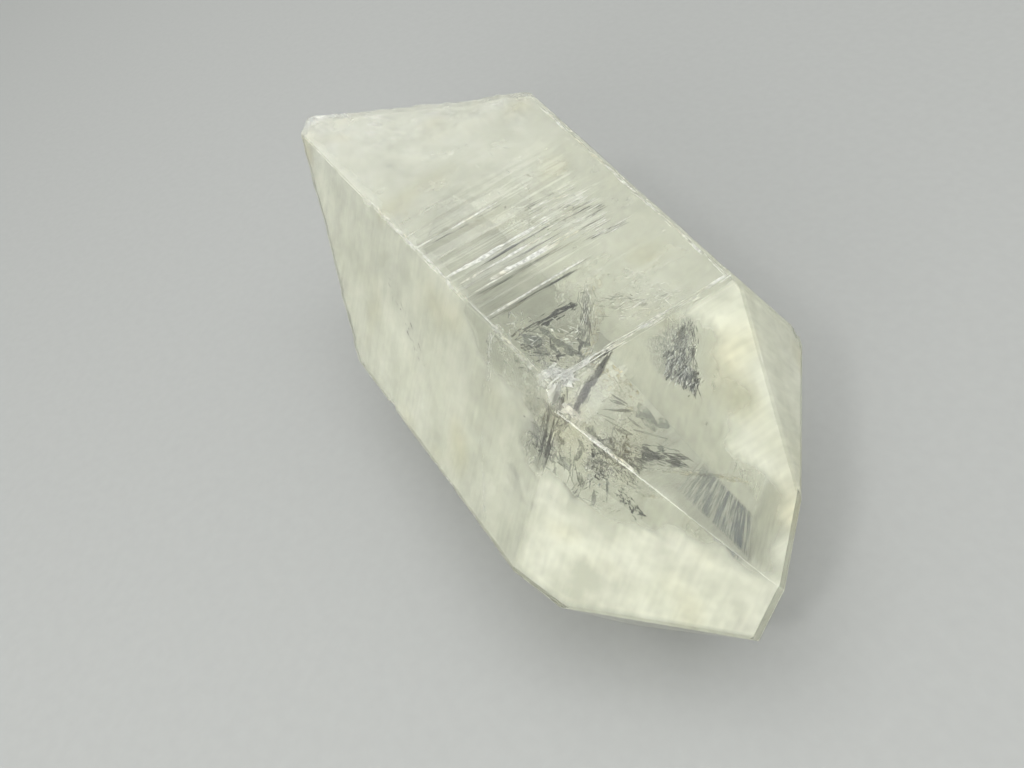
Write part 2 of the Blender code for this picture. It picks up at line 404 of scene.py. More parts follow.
    def corners(self, sides: np.ndarray) -> np.ndarray:
        """Find where each side meets the next one.

        On a side at reach a, whose neighbour 60 degrees on has reach b, the corner lies at a along the
        outward direction and (b - a cos 60) / sin 60 along the side.

        Args:
            sides: Reaches, stations by six sides.

        Returns:
            Corner places in Y and Z, stations by six sides by two.
        """
        out, along = self.outward()
        beyond = (np.roll(sides, -1, axis=1) - sides * 0.5) / math.sin(FACE_STEP)
        return sides[..., None] * out[None] + beyond[..., None] * along[None]

    def prism_relief(self, face: int, x: np.ndarray, across: np.ndarray) -> np.ndarray:
        """Give how deep a prism face lies under its ideal plane.

        It is a slow swell s (1 + n), plus the growth patches and the ledges of that face.

        Args:
            face: Number of the prism face.
            x: Stations along the axis, one for each point.
            across: Places across the face.

        Returns:
            Depths in millimetres.
        """
        behind = -x
        deep, long, wide = self.swell
        depth = deep + deep * smooth_noise(behind / long, across / wide, float(face))
        for patch in self.growth:
            if patch.face == face:
                depth = depth + patch.steps(behind, across)
        for ledge in self.ledges:
            if ledge.face == face:
                depth = depth + ledge.depth(behind, across)
        return depth

    def tip_relief(self, face: int, x: np.ndarray, across: np.ndarray) -> np.ndarray:
        """Give the depth of a tip face's faint hillocks and slanting grooves, as a (1 + n1) + b (1 + n2).

        Args:
            face: Number of the tip face.
            x: Stations along the axis, one for each point.
            across: Places across the face.

        Returns:
            Depths in millimetres.
        """
        deep, long, wide = self.hillock
        hills = deep + deep * smooth_noise(x / long, across / wide, face + Seed.HILLOCK)
        deep, long, wide = self.groove
        slant = x + across * self.groove_slant
        return hills + deep + deep * smooth_noise(slant / long, across / wide, face + Seed.GROOVE)

    def side_grid(self, side: int, x: np.ndarray, sides: np.ndarray,
                  corners: np.ndarray, moves: np.ndarray) -> np.ndarray:
        """Lay the points of one side between its two corners.

        A point at share t runs in a straight line from corner to corner, and is then set at
        reach - depth along the outward direction.

        Args:
            side: Number of the side, from 0.
            x: Stations along the axis.
            sides: Reaches, stations by six.
            corners: Ideal corners, stations by six by two.
            moves: How far each corner is moved in by the relief, in the same shape.

        Returns:
            Points, stations by columns by three.
        """
        out, along = self.outward()
        count = self.columns[side]
        even = np.arange(count) / count
        share = even - self.edge_crowding * np.sin(2.0 * math.pi * even)
        first = corners[:, side - 1] + moves[:, side - 1]
        last = corners[:, side] + moves[:, side]
        flat = first[:, None] + (last - first)[:, None] * share[None, :, None]
        across = flat @ along[side]
        depth = self.relief(side, x, across, corners)
        height = sides[:, side][:, None] - depth - flat @ out[side]
        height[:, 0] = 0.0
        spot = flat + height[..., None] * out[side]
        return np.concatenate([np.broadcast_to(x[:, None, None], spot.shape[:2] + (1,)), spot], axis=2)

    def relief(self, side: int, x: np.ndarray, across: np.ndarray, corners: np.ndarray) -> np.ndarray:
        """Give the depth of a side's points, from the prism face or the tip face they belong to.

        Args:
            side: Number of the side, from 0.
            x: Stations along the axis.
            across: Places across the side, stations by columns.
            corners: Ideal corners, stations by six by two.

        Returns:
            Depths, stations by columns.
        """
        _, along = self.outward()
        low = corners[:, side - 1] @ along[side]
        high = corners[:, side] @ along[side]
        inset = np.minimum(across - low[:, None], high[:, None] - across)
        shoulder = self.shoulders()[side]
        place = np.broadcast_to(x[:, None], across.shape)
        prism = self.prism_relief(side + 1, place, across) * ease(shoulder - place, 0.0, self.prism_fade)
        tip = self.tip_relief(side + 1, place, across) * ease(inset, *self.rim_fade)
        tip = tip * ease(place - shoulder, 0.0, self.tip_fade)
        return np.where(place < shoulder, prism, tip)

    def corner_moves(self, x: np.ndarray, corners: np.ndarray) -> np.ndarray:
        """Find how far the relief of both sides moves each corner.

        With depths p and q on the two sides, the move is a o1 + b o2, where a = (q / 2 - p) / 0.75 and
        b = (p / 2 - q) / 0.75, because the two outward directions are 60 degrees apart.

        Args:
            x: Stations along the axis.
            corners: Ideal corners, stations by six by two.

        Returns:
            Moves in Y and Z, in the same shape as corners.
        """
        out, along = self.outward()
        moves = np.zeros_like(corners)
        for side in range(6):
            after = (side + 1) % 6
            spot = corners[:, side]
            here = self.relief(side, x, (spot @ along[side])[:, None], corners)[:, 0]
            there = self.relief(after, x, (spot @ along[after])[:, None], corners)[:, 0]
            moves[:, side] = (((there * 0.5 - here) / 0.75)[:, None] * out[side]
                              + ((here * 0.5 - there) / 0.75)[:, None] * out[after])
        return moves

    def break_place(self, y: np.ndarray, z: np.ndarray) -> np.ndarray:
        """Give the station of the broken root over each place of the cross section.

        Each break is the plane n . p = d with rough ground h on it, so x = (ny y + nz z - d - h) / |nx|.
        The one nearer to the tip counts.

        Args:
            y: Places along Y from the axis.
            z: Places along Z from the axis.

        Returns:
            Stations along the axis.
        """
        planes = []
        for plane in self.breaks:
            unit = np.array(plane.normal) / np.linalg.norm(plane.normal)
            rough = self.broken_ground(y, z, plane.seed)
            planes.append((unit[1] * y + unit[2] * z - plane.distance - rough) / abs(unit[0]))
        return np.maximum.reduce(planes)

    def broken_ground(self, y: np.ndarray, z: np.ndarray, seed: float) -> np.ndarray:
        """Give the roughness of a break: swells, sharp hackles, shell ripples and grain.

        h = a n1 + b (1/2 - |2 n2|) + c (1/2 - |2 n3|) + d cos(2 pi r / s) + e n4, with r the reach from a
        struck point and s the spacing of the ripples.

        Args:
            y: Places along Y.
            z: Places along Z.
            seed: Number that picks the pattern.

        Returns:
            Heights in millimetres.
        """
        high, size = self.break_swell
        ground = high * smooth_noise(y / size, z / size, seed)
        high, long, wide = self.break_fold
        ground += high * (0.5 - 2.0 * np.abs(smooth_noise(y / long, z / wide, seed + 1.0)))
        high, long, wide = self.break_crease
        ground += high * (0.5 - 2.0 * np.abs(smooth_noise(y / long + z / 6.0, z / wide, seed + 2.0)))
        struck_y, struck_z = self.struck_point
        reach = np.hypot(y - struck_y * math.cos(seed), z - struck_z)
        reach = reach + 0.8 * smooth_noise(y / 6.0, z / 6.0, seed + 3.0)
        high, spacing = self.break_ripple
        ground += high * np.cos(2.0 * math.pi * reach / spacing)
        high, size = self.break_grain
        return ground + high * smooth_noise(y / size, z / size, seed + 4.0)

    def strike_chips(self, points: np.ndarray, margin: float = 0.0) -> np.ndarray:
        """Press every chip into the surface and mark how fresh the broken surface is.

        A point inside the chip's ellipsoid drops along the chip's outward direction to its floor, which
        lies at -sqrt(1 - a^2 - b^2) in the ellipsoid's own lengths.

        Args:
            points: Surface points, changed in place.
            margin: How far past its own size each chip reaches.

        Returns:
            Chip marks from 0 to 1, one for each point.
        """
        marks = np.zeros(points.shape[:-1])
        for number, chip in enumerate(self.chips):
            middle, axes, sizes = self.chip_frame(chip, number)
            sizes = sizes + margin
            local = (points - middle) @ axes.T / sizes
            flat = local[..., 0] ** 2 + local[..., 1] ** 2
            inside = flat + local[..., 2] ** 2 < 1.0
            rough = 0.1 * smooth_noise(local[..., 0] * 3.0, local[..., 1] * 3.0, number + Seed.CHIP)
            floor = -np.sqrt(np.clip(1.0 - flat, 0.0, 1.0)) * (0.9 + rough)
            drop = np.where(inside, np.minimum(floor - local[..., 2], 0.0), 0.0) * sizes[2]
            points += drop[..., None] * axes[2]
            marks = np.maximum(marks, ease(-drop, 0.02, 0.20))
        return marks

    def chip_frame(self, chip: Chip, number: int) -> tuple[np.ndarray, np.ndarray, np.ndarray]:
        """Place a chip's ellipsoid on its edge, sunk by chip_sink and turned a little off the edge.

        Args:
            chip: The chip.
            number: Its number, which sets how far it is turned.

        Returns:
            Its middle, its axes (along the edge, across and outward) and its half sizes.
        """
        x = np.array([-chip.behind])
        corner = self.corners(self.reach(x))[0, chip.face_a - 1]
        out, _ = self.outward()
        bisector = out[chip.face_a - 1] + out[chip.face_b - 1]
        outward = np.array([0.0, *bisector]) / np.linalg.norm(bisector)
        radius = chip.depth / self.chip_sink
        skew = self.chip_skew * math.sin(number * self.chip_turn)
        side = np.cross(outward, [1.0, 0.0, 0.0])
        along = np.array([math.cos(skew), *(side[1:] * math.sin(skew))])
        across = np.cross(outward, along)
        middle = np.array([-chip.behind, *corner]) + outward * radius * (1.0 - self.chip_sink)
        sizes = np.array([chip.length / 2.0, radius * self.chip_width, radius])
        return middle, np.stack([along, across, outward]), sizes

    def wear_edges(self, points: np.ndarray, corners: np.ndarray) -> np.ndarray:
        """Nibble the six long edges with small ragged flakes.

        A flake of depth c takes off what stands above a plane square to the edge's bisector, so a point
        at height h above that plane drops by h.

        Args:
            points: Side points, stations by columns by three, changed in place.
            corners: Ideal corners, stations by six by two.

        Returns:
            Wear marks from 0 to 1, stations by columns.
        """
        out, _ = self.outward()
        marks = np.zeros(points.shape[:2])
        x = points[:, 0, 0]
        line = x * 0.0
        large, small = self.flake_sizes
        for side in range(6):
            bisector = (out[side] + out[(side + 1) % 6]) / (2.0 * math.cos(FACE_STEP / 2.0))
            flakes = (smooth_noise(x / large, line, side + Seed.FLAKE)
                      + 0.6 * smooth_noise(x / small, line, side + Seed.NIBBLE))
            spread = ease(smooth_noise(x / self.worn_stretch, line, side + Seed.WEAR), -0.4, 0.8)
            prism = ease(np.minimum(*self.shoulders()[[side, (side + 1) % 6]]) - x, -1.0, 1.0)
            bite = np.clip(flakes - 0.1, 0.0, 1.5) * self.flake_depth * spread * (0.25 + 0.75 * prism)
            bite = self.flake_least + bite
            height = (points[..., 1:] - corners[:, side][:, None]) @ bisector + bite[:, None]
            ragged = 1.0 + 0.3 * smooth_noise(x[:, None] * 2.0, height * 6.0, side + Seed.RAGGED)
            near = np.linalg.norm(points[..., 1:] - corners[:, side][:, None], axis=2) < self.wear_reach
            drop = np.where(near, np.clip(height, 0.0, None), 0.0) * ragged
            points[..., 1:] -= drop[..., None] * bisector
            marks = np.maximum(marks, ease(drop, 0.01, 0.12))
        return marks

    def riser_marks(self, points: np.ndarray) -> np.ndarray:
        """Mark the risers of the ledges, which are finely stepped and so look white.

        Args:
            points: Side points, stations by columns by three.

        Returns:
            Marks from 0 to 1, stations by columns.
        """
        _, along = self.outward()
        side = np.repeat(np.arange(6), self.columns)
        across = np.sum(points[..., 1:] * along[side], axis=-1)
        marks = np.zeros(points.shape[:2])
        for ledge in self.ledges:
            away = np.abs(-points[..., 0] - ledge.behind)
            broken = 0.55 + 0.45 * smooth_noise(across / 2.2, points[..., 0] / 0.9, ledge.behind)
            line = (1.0 - ease(away, 0.2 * ledge.run, 0.75 * ledge.run)) * broken * ledge.span(across)
            marks = np.maximum(marks, np.where(side == ledge.face - 1, line, 0.0))
        return marks

    def holds(self, points: np.ndarray, margin: float) -> np.ndarray:
        """Tell which points lie inside the crystal, clear of its faces, its break and its chips.

        Args:
            points: Points in the frame of the parts.
            margin: Least distance to the surface.

        Returns:
            True or False for each point.
        """
        spot = (points - AXIS_POINT).reshape(-1, 3)
        out, _ = self.outward()
        inside = np.all(spot[:, 1:] @ out.T < self.reach(spot[:, 0]) - margin, axis=1)
        inside &= spot[:, 0] > self.break_place(spot[:, 1], spot[:, 2]) + margin
        for number, chip in enumerate(self.chips):
            middle, axes, sizes = self.chip_frame(chip, number)
            inside &= np.linalg.norm((spot - middle) @ axes.T / (sizes + margin), axis=1) > 1.0
        return inside.reshape(points.shape[:-1])

    def close_root(self, points: np.ndarray, inset: float = 0.0) -> tuple[np.ndarray, np.ndarray]:
        """End each column on the break and lay the broken surface between them.

        A column's rows below the break all move to the point where it crosses the break. From there rows
        shrink towards the axis as (y, z) (1 - k / K), each point set on the break.

        Args:
            points: Side points, stations by columns by three.
            inset: How far the break is moved in.

        Returns:
            The cap's rows followed by the side's rows, and for each point whether it is on the break.
        """
        gap = points[..., 0] - self.break_place(points[..., 1], points[..., 2]) - inset
        row = np.arange(len(points))[:, None]
        last = np.max(np.where(gap < 0.0, row, 0), axis=0)
        column = np.arange(points.shape[1])
        before, after = gap[last, column], gap[last + 1, column]
        share = (before / (before - after))[:, None]
        rim = points[last, column] * (1.0 - share) + points[last + 1, column] * share
        below = row <= last[None, :]
        points = np.where(below[..., None], rim[None], points)
        shrink = 1.0 - np.arange(self.cap_rows, 0, -1) / self.cap_rows
        cap = rim[None, :, 1:] * shrink[:, None, None]
        cap_x = self.break_place(cap[..., 0], cap[..., 1]) + inset
        cap = np.concatenate([cap_x[..., None], cap], axis=2)
        broken = np.concatenate([np.ones(cap.shape[:2], bool), below])
        return np.concatenate([cap, points]), broken

    def zones(self, x: np.ndarray, broken: np.ndarray) -> np.ndarray:
        """Give each point the value of its zone: prism, tip or broken.

        Args:
            x: Stations along the axis.
            broken: Which points are on the break, the cap's rows first.

        Returns:
            Zone values, one for each point.
        """
        side = np.repeat(np.arange(6), self.columns)
        tip = x[:, None] > self.shoulders()[side][None, :]
        zone = np.where(tip, Zone.TIP.value, Zone.PRISM.value)
        cap = np.full((self.cap_rows, zone.shape[1]), Zone.BROKEN.value)
        return np.where(broken, Zone.BROKEN.value, np.concatenate([cap, zone]))

    def build(self) -> bpy.types.Object:
        """Build the closed crystal mesh in place, with its attributes.

        Returns:
            The crystal object.
        """
        x = self.stations()
        sides = self.reach(x)
        corners = self.corners(sides)
        moves = self.corner_moves(x, corners)
        grids = [self.side_grid(side, x, sides, corners, moves) for side in range(6)]
        points = np.concatenate(grids, axis=1)
        worn = self.wear_edges(points, corners + moves)
        worn = np.maximum(worn, self.riser_marks(points))
        worn = np.maximum(worn, self.strike_chips(points))
        points, broken = self.close_root(points)
        worn = np.concatenate([np.zeros((self.cap_rows, points.shape[1])), worn])
        marks = {"zone": self.zones(x, broken), "worn": worn, "frost": self.frost(points)}
        return self.make_object(points, marks)

    def cleared(self, points: np.ndarray) -> np.ndarray:
        """Tell where etching and milk are left: 0 inside the clear windows, 1 away from them.

        Each window is an ellipsoid that clears them by 1 - |(p - middle) / size|, with a ragged rim.

        Args:
            points: Points in the axis frame.

        Returns:
            Marks from 0 to 1.
        """
        slant = points[..., 1] + points[..., 2]
        high, size = self.window_rag
        ragged = high * smooth_noise(points[..., 0] / size, slant / size, Seed.WINDOW)
        left = np.ones(points.shape[:-1])
        for window in self.windows:
            reach = np.linalg.norm((points - np.array(window.middle)) / np.array(window.size), axis=-1)
            left = left * (1.0 - ease(1.0 - reach + ragged, 0.0, self.window_rim))
        return left

    def frost(self, points: np.ndarray) -> np.ndarray:
        """Mark how matt the surface is; it rises towards the root, and more on some faces than on others.

        Args:
            points: Surface points in the axis frame.

        Returns:
            Marks from 0 to 1.
        """
        side = np.repeat(np.arange(6), self.columns)
        slant = points[..., 1] - points[..., 2]
        long, wide = self.frost_patch
        patchy = smooth_noise(points[..., 0] / long, slant / wide, Seed.FROST)
        start = np.array(self.frost_start)[side]
        marks = ease(self.frost_shift * patchy - points[..., 0], start, start + self.frost_blend)
        least = np.where(points[..., 0] < self.shoulders()[side], np.array(self.frost_prism)[side],
                         np.array(self.frost_tip)[side])
        return np.maximum(marks, least * (0.8 + 0.4 * patchy)) * self.cleared(points)

    def make_object(self, points: np.ndarray, marks: dict[str, np.ndarray]) -> bpy.types.Object:
        """Turn the grid into the crystal, smooth but for its sharp edges.

        Args:
            points: Grid points in the axis frame, in millimetres.
            marks: Values for each point, by attribute name.

        Returns:
            The crystal.
        """
        mesh = closed_mesh(self.name, points, marks, self.weld_gap)
        mesh.polygons.foreach_set("use_smooth", np.ones(len(mesh.polygons), bool))
        mesh.set_sharp_from_angle(angle=self.sharp_angle)
        return link_object(self.name, mesh)


def closed_mesh(name: str, points: np.ndarray, marks: dict[str, np.ndarray], gap: float) -> bpy.types.Mesh:
    """Turn a ring grid into one closed mesh.

    Args:
        name: Name of the mesh.
        points: Grid points in the axis frame, in millimetres; the first row lies in one point.
        marks: Values for each point, by attribute name.
        gap: Weld distance in metres.

    Returns:
        The mesh, with doubled points welded and empty faces gone.
    """
    rows, columns = points.shape[:2]
    end_ring = np.arange((rows - 1) * columns, rows * columns)
    mesh = bpy.data.meshes.new(name)
    places = (points + AXIS_POINT).reshape(-1, 3) * MM
    mesh.from_pydata(places.tolist(), [], grid_faces(rows, columns).tolist() + [end_ring.tolist()])
    for mark, values in marks.items():
        attribute = mesh.attributes.new(mark, "FLOAT", "POINT")
        attribute.data.foreach_set("value", values.reshape(-1).astype(np.float32))
    weld(mesh, gap)
    return mesh


def weld(mesh: bpy.types.Mesh, gap: float) -> None:
    """Weld points that lie close together, which also drops the faces that close up.

    Args:
        mesh: The mesh, changed in place.
        gap: Weld distance in metres.
    """
    work = bmesh.new()
    work.from_mesh(mesh)
    bmesh.ops.remove_doubles(work, verts=work.verts, dist=gap)
    bmesh.ops.triangulate(work, faces=[face for face in work.faces if len(face.verts) > 4])
    work.to_mesh(mesh)
    work.free()


# --- Inside the crystal --------------------------------------------------------------------------------


def lens_grid(middles: np.ndarray, wides: np.ndarray, talls: np.ndarray, thick: np.ndarray,
              rims: np.ndarray, rows: int) -> np.ndarray:
    """Lay flattened ellipsoids with ragged rims.

    A point is middle + R(f) sin(t) (cos(f) wide + sin(f) tall) + cos(t) thick normal, with t from pole to
    pole, f once round and R the rim's reach at f.

    Args:
        middles: Middle of each lens.
        wides: Half of its long side.
        talls: Half of its short side.
        thick: Half of its thickness, one number each.
        rims: Reach of the rim, lenses by columns.
        rows: Rows from pole to pole.

    Returns:
        Points, lenses by rows by columns by three.
    """
    normals = np.cross(wides, talls)
    normals = normals / np.linalg.norm(normals, axis=1, keepdims=True)
    tilt = np.linspace(0.0, math.pi, rows)[None, :, None, None]
    turn = np.linspace(0.0, 2.0 * math.pi, rims.shape[1], endpoint=False)[None, None, :, None]
    flat = np.cos(turn) * wides[:, None, None] + np.sin(turn) * talls[:, None, None]
    rise = (thick[:, None] * normals)[:, None, None]
    return middles[:, None, None] + rims[:, None, :, None] * np.sin(tilt) * flat + np.cos(tilt) * rise


def lens_mesh(name: str, grids: list[np.ndarray], gap: float) -> bpy.types.Mesh:
    """Join lens grids into one mesh of closed lenses.

    Args:
        name: Name of the mesh.
        grids: Arrays of lenses by rows by columns by three, in millimetres.
        gap: Weld distance in metres, which closes the poles.

    Returns:
        The mesh.
    """
    places, faces, first = [], [], 0
    for grid in grids:
        lenses, rows, columns = grid.shape[:3]
        quads = grid_faces(rows, columns)[None] + (np.arange(lenses) * rows * columns)[:, None, None]
        faces.append(quads.reshape(-1, 4)[:, ::-1] + first)
        places.append(grid.reshape(-1, 3) * MM)
        first += lenses * rows * columns
    mesh = bpy.data.meshes.new(name)
    mesh.from_pydata(np.concatenate(places).tolist(), [], np.concatenate(faces).tolist())
    weld(mesh, gap)
    return mesh


@dataclass(frozen=True)
class CrackFan:
    """A bundle of thin cracks that run much the same way, in millimetres.

    Their middles fill the parallelogram from start to end and down by deep.
    """

    start: Place
    end: Place
    deep: Place
    count: int
    length: tuple[float, float]
    width: tuple[float, float]
    scatter: float
    tangle: float
    seed: int


@dataclass
class Cracks:
    """Thin flat cracks in bundles. Their finish makes them open air gaps, painted dark reflection, painted
    shade, or white crushed quartz with painted highlights.
    """

    name: str
    crystal: QuartzPoint
    fans: tuple[CrackFan, ...]
    rows: int = 5
    columns: int = 10
    rim: tuple[float, float] = (0.65, 0.5)    # least reach of the rim, and how much more it may have
    thickness: float = 0.05                   # mm, half of it
    margin: float = 0.12
    weld_gap: float = 0.000004                # metres

    def lenses(self, fan: CrackFan) -> np.ndarray:
        """Scatter a bundle's cracks and keep those inside the crystal.

        With random a, b, c a crack's middle is start + a (end - start) + b deep + scatter c. Its long side
        runs along the bundle and its short side into the depth, both turned a little at random.

        Args:
            fan: The bundle.

        Returns:
            Points, lenses by rows by columns by three.
        """
        draw = np.random.default_rng(fan.seed)
        start, end, deep = (np.array(corner) for corner in (fan.start, fan.end, fan.deep))
        middles = (start + draw.random((fan.count, 1)) * (end - start) + draw.random((fan.count, 1)) * deep
                   + fan.scatter * draw.normal(size=(fan.count, 3)))
        wides = (end - start) / np.linalg.norm(end - start) + fan.tangle * draw.normal(size=(fan.count, 3))
        wides /= np.linalg.norm(wides, axis=1, keepdims=True)
        talls = deep / np.linalg.norm(deep) + fan.tangle * draw.normal(size=(fan.count, 3))
        talls -= np.sum(talls * wides, axis=1, keepdims=True) * wides
        talls /= np.linalg.norm(talls, axis=1, keepdims=True)
        long = fan.length[0] + (fan.length[1] - fan.length[0]) * draw.random((fan.count, 1)) ** 2
        short = fan.width[0] + (fan.width[1] - fan.width[0]) * draw.random((fan.count, 1)) ** 2
        rims = self.rim[0] + self.rim[1] * draw.random((fan.count, self.columns))
        thick = np.full(fan.count, self.thickness)
        lenses = lens_grid(middles, wides * long / 2.0, talls * short / 2.0, thick, rims, self.rows)
        return lenses[np.all(self.crystal.holds(lenses, self.margin), axis=(1, 2))]

    def build(self) -> bpy.types.Object:
        """Build all cracks as one piece."""
        mesh = lens_mesh(self.name, [self.lenses(fan) for fan in self.fans], self.weld_gap)
        return link_object(self.name, mesh)


@dataclass(frozen=True)
class Veil:
    """A sheet of tiny sealed bubbles: its middle, its two half sides and its bend, in millimetres."""

    middle: Place
    wide: Place
    tall: Place
    bend: float
    seed: float


@dataclass
class BubbleVeils:
    """Healed cracks, each a wavy sheet of tiny bubbles."""

    veils: tuple[Veil, ...]
    rows: int = 33
    columns: int = 72
    thickness: float = 0.06
    weld_gap: float = 0.000004
    name: str = "bubble_veils"

    def sheet(self, veil: Veil) -> np.ndarray:
        """Lay one sheet and bend it along its normal by bend (n1 + 0.3 n2) of the place on it.

        The rim's reach is 0.82 + 0.16 n3 + 0.07 n4 of the direction from the middle.

        Args:
            veil: The sheet.

        Returns:
            Points, one lens by rows by columns by three.
        """
        turn = np.linspace(0.0, 2.0 * math.pi, self.columns, endpoint=False)
        rims = 0.82 + 0.16 * smooth_noise(np.cos(turn) * 1.6 + 9.0, np.sin(turn) * 1.6, veil.seed)
        rims = rims + 0.07 * smooth_noise(np.cos(turn) * 6.0, np.sin(turn) * 6.0, veil.seed + 1.0)
        middle, wide, tall = (np.array([part]) for part in (veil.middle, veil.wide, veil.tall))
        grid = lens_grid(middle, wide, tall, np.array([self.thickness]), rims[None], self.rows)
        normal = np.cross(wide, tall)
        normal = normal / np.linalg.norm(normal)
        u = (grid - middle) @ wide[0] / (wide[0] @ wide[0])
        v = (grid - middle) @ tall[0] / (tall[0] @ tall[0])
        wave = smooth_noise(u * 1.5, v * 1.5, veil.seed + 2.0)
        wave = wave + 0.3 * smooth_noise(u * 5.0, v * 5.0, veil.seed)
        return grid + (veil.bend * wave)[..., None] * normal[0]

    def build(self) -> bpy.types.Object:
        """Build all sheets as one piece."""
        mesh = lens_mesh(self.name, [self.sheet(veil) for veil in self.veils], self.weld_gap)
        return link_object(self.name, mesh)


@dataclass
class MilkyHaze:
    """A milky growth layer: a skin of quartz full of tiny bubbles, a little way under all faces."""

    crystal: QuartzPoint
    depth: float = 0.9                                           # mm under the faces
    rows: int = 180
    columns: int = 20                                            # on each side
    prism: tuple[float, ...] = (0.50, 1.0, 1.0, 0.9, 0.9, 0.9)   # density under each prism face
    tip: tuple[float, ...] = (1.6, 1.6, 1.0, 1.0, 1.0, 1.7)      # density under each tip face
    least: float = 0.12                                          # share that a clear window leaves
    weld_gap: float = 0.000004                                   # metres
    name: str = "milky_haze"

    def density(self, points: np.ndarray) -> np.ndarray:
        """Give how dense the milk is at each point: a level for each face, thinned in the clear windows.

        Args:
            points: Points in the axis frame.

        Returns:
            Densities for the attribute "dense".
        """
        side = np.repeat(np.arange(6), self.columns)
        on_tip = points[..., 0] > self.crystal.shoulders()[side]
        level = np.where(on_tip, np.array(self.tip)[side], np.array(self.prism)[side])
        return level * (self.least + (1.0 - self.least) * self.crystal.cleared(points))

    def build(self) -> bpy.types.Object:
        """Build the skin as the crystal's own outline with every face moved in by depth.

        A point at share t of a side is first + (last - first) t, from corner to corner of the inset side.
        The chips reach past their own size by depth, and the rough break is moved in by twice as much, so
        that the skin stays inside the crystal.

        Returns:
            The skin.
        """
        end = self.crystal.tip_end - self.depth * math.tan(TIP_ANGLE)
        x = np.linspace(self.crystal.root_start, end, self.rows)
        last = self.crystal.corners(self.crystal.reach(x, self.depth))
        first = np.roll(last, 1, axis=1)
        share = (np.arange(self.columns) / self.columns)[:, None]
        flat = (first[:, :, None] + (last - first)[:, :, None] * share).reshape(self.rows, -1, 2)
        points = np.concatenate([np.broadcast_to(x[:, None, None], flat.shape[:2] + (1,)), flat], axis=2)
        self.crystal.strike_chips(points, self.depth)
        points, _ = self.crystal.close_root(points, 2.0 * self.depth)
        mesh = closed_mesh(self.name, points, {"dense": self.density(points)}, self.weld_gap)
        return link_object(self.name, mesh)


@dataclass(frozen=True)
class ShadeLayer:
    """A flat sheet of painted shade in the crystal: its four corners in millimetres, and stripes along it."""

    corners: tuple[Place, ...]
    stripes: float
    dashes: float
    dense: float


@dataclass
class PaintedShadeLayers:
    """Thin striped sheets of painted shade: the dark seen through the crystal, striped like a growth face."""

    layers: tuple[ShadeLayer, ...]
    steps: int = 24
    thickness: float = 0.06
    name: str = "painted_shade_layers"

    def build(self) -> bpy.types.Object:
        """Build the layers as one piece.

        A point at shares s and t is (1 - s)((1 - t) A + t B) + s ((1 - t) D + t C). The stripes attribute
        rises along s, the fade attribute falls to 0 at the rim.

        Returns:
            The layers.
        """
        even = np.linspace(0.0, 1.0, self.steps)
        s, t = (part.ravel() for part in np.meshgrid(even, even, indexing="ij"))
        points, stripes, quads = [], [], []
        row = np.arange(self.steps - 1)
        first = (row[:, None] * self.steps + row[None, :]).ravel()
        face = np.stack([first, first + 1, first + self.steps + 1, first + self.steps], axis=1)
        for number, layer in enumerate(self.layers):
            a, b, c, d = (np.array(corner) * MM for corner in layer.corners)
            points.append((1.0 - s)[:, None] * ((1.0 - t)[:, None] * a + t[:, None] * b)
                          + s[:, None] * ((1.0 - t)[:, None] * d + t[:, None] * c))
            stripes.append(np.stack([s * layer.stripes, t * layer.dashes, s * 0.0 + 5.0 * number], axis=1))
            quads.append(face + number * self.steps ** 2)
        mesh = bpy.data.meshes.new(self.name)
        mesh.from_pydata(np.concatenate(points).tolist(), [], np.concatenate(quads).tolist())
        place = mesh.attributes.new("stripe_place", "FLOAT_VECTOR", "POINT")
        place.data.foreach_set("vector", np.concatenate(stripes).ravel())
        fade = mesh.attributes.new("fade", "FLOAT", "POINT")
        rim = ease(np.minimum.reduce([s, 1.0 - s, t, 1.0 - t]), 0.0, 0.10) * (0.25 + 0.75 * s)
        fade.data.foreach_set("value", np.concatenate([rim * layer.dense for layer in self.layers]))
        obj = link_object(self.name, mesh)
        wall = obj.modifiers.new("wall", "SOLIDIFY")
        wall.thickness = self.thickness * MM
        wall.offset = 0.0
        return obj


# --- Finishes -----------------------------------------------------------------------------------------


def add_node(tree: bpy.types.NodeTree, kind: str, settings: dict | None = None,
             links: dict | None = None) -> bpy.types.Node:
    """Add one shader node.

    Args:
        tree: Node tree that gets the node.
        kind: Blender's name of the node type.
        settings: Values by field name, or by input name or number.
        links: Output sockets by the input name or number they feed.

    Returns:
        The new node.
    """
    node = tree.nodes.new(kind)
    for key, value in (settings or {}).items():
        if isinstance(key, str) and hasattr(node, key):
            setattr(node, key, value)
        else:
            node.inputs[key].default_value = value
    for key, socket in (links or {}).items():
        tree.links.new(socket, node.inputs[key])
    return node


def new_material(name: str) -> tuple[bpy.types.Material, bpy.types.NodeTree]:
    """Make an empty node material.

    Args:
        name: Name of the material.

    Returns:
        The material and its node tree.
    """
    material = bpy.data.materials.new(name)
    material.use_nodes = True
    material.node_tree.nodes.clear()
    return material, material.node_tree


class Finish:
    """What every finish has: a method that builds its node material."""

    def material(self) -> bpy.types.Material:
        """Build the node material."""
        raise NotImplementedError


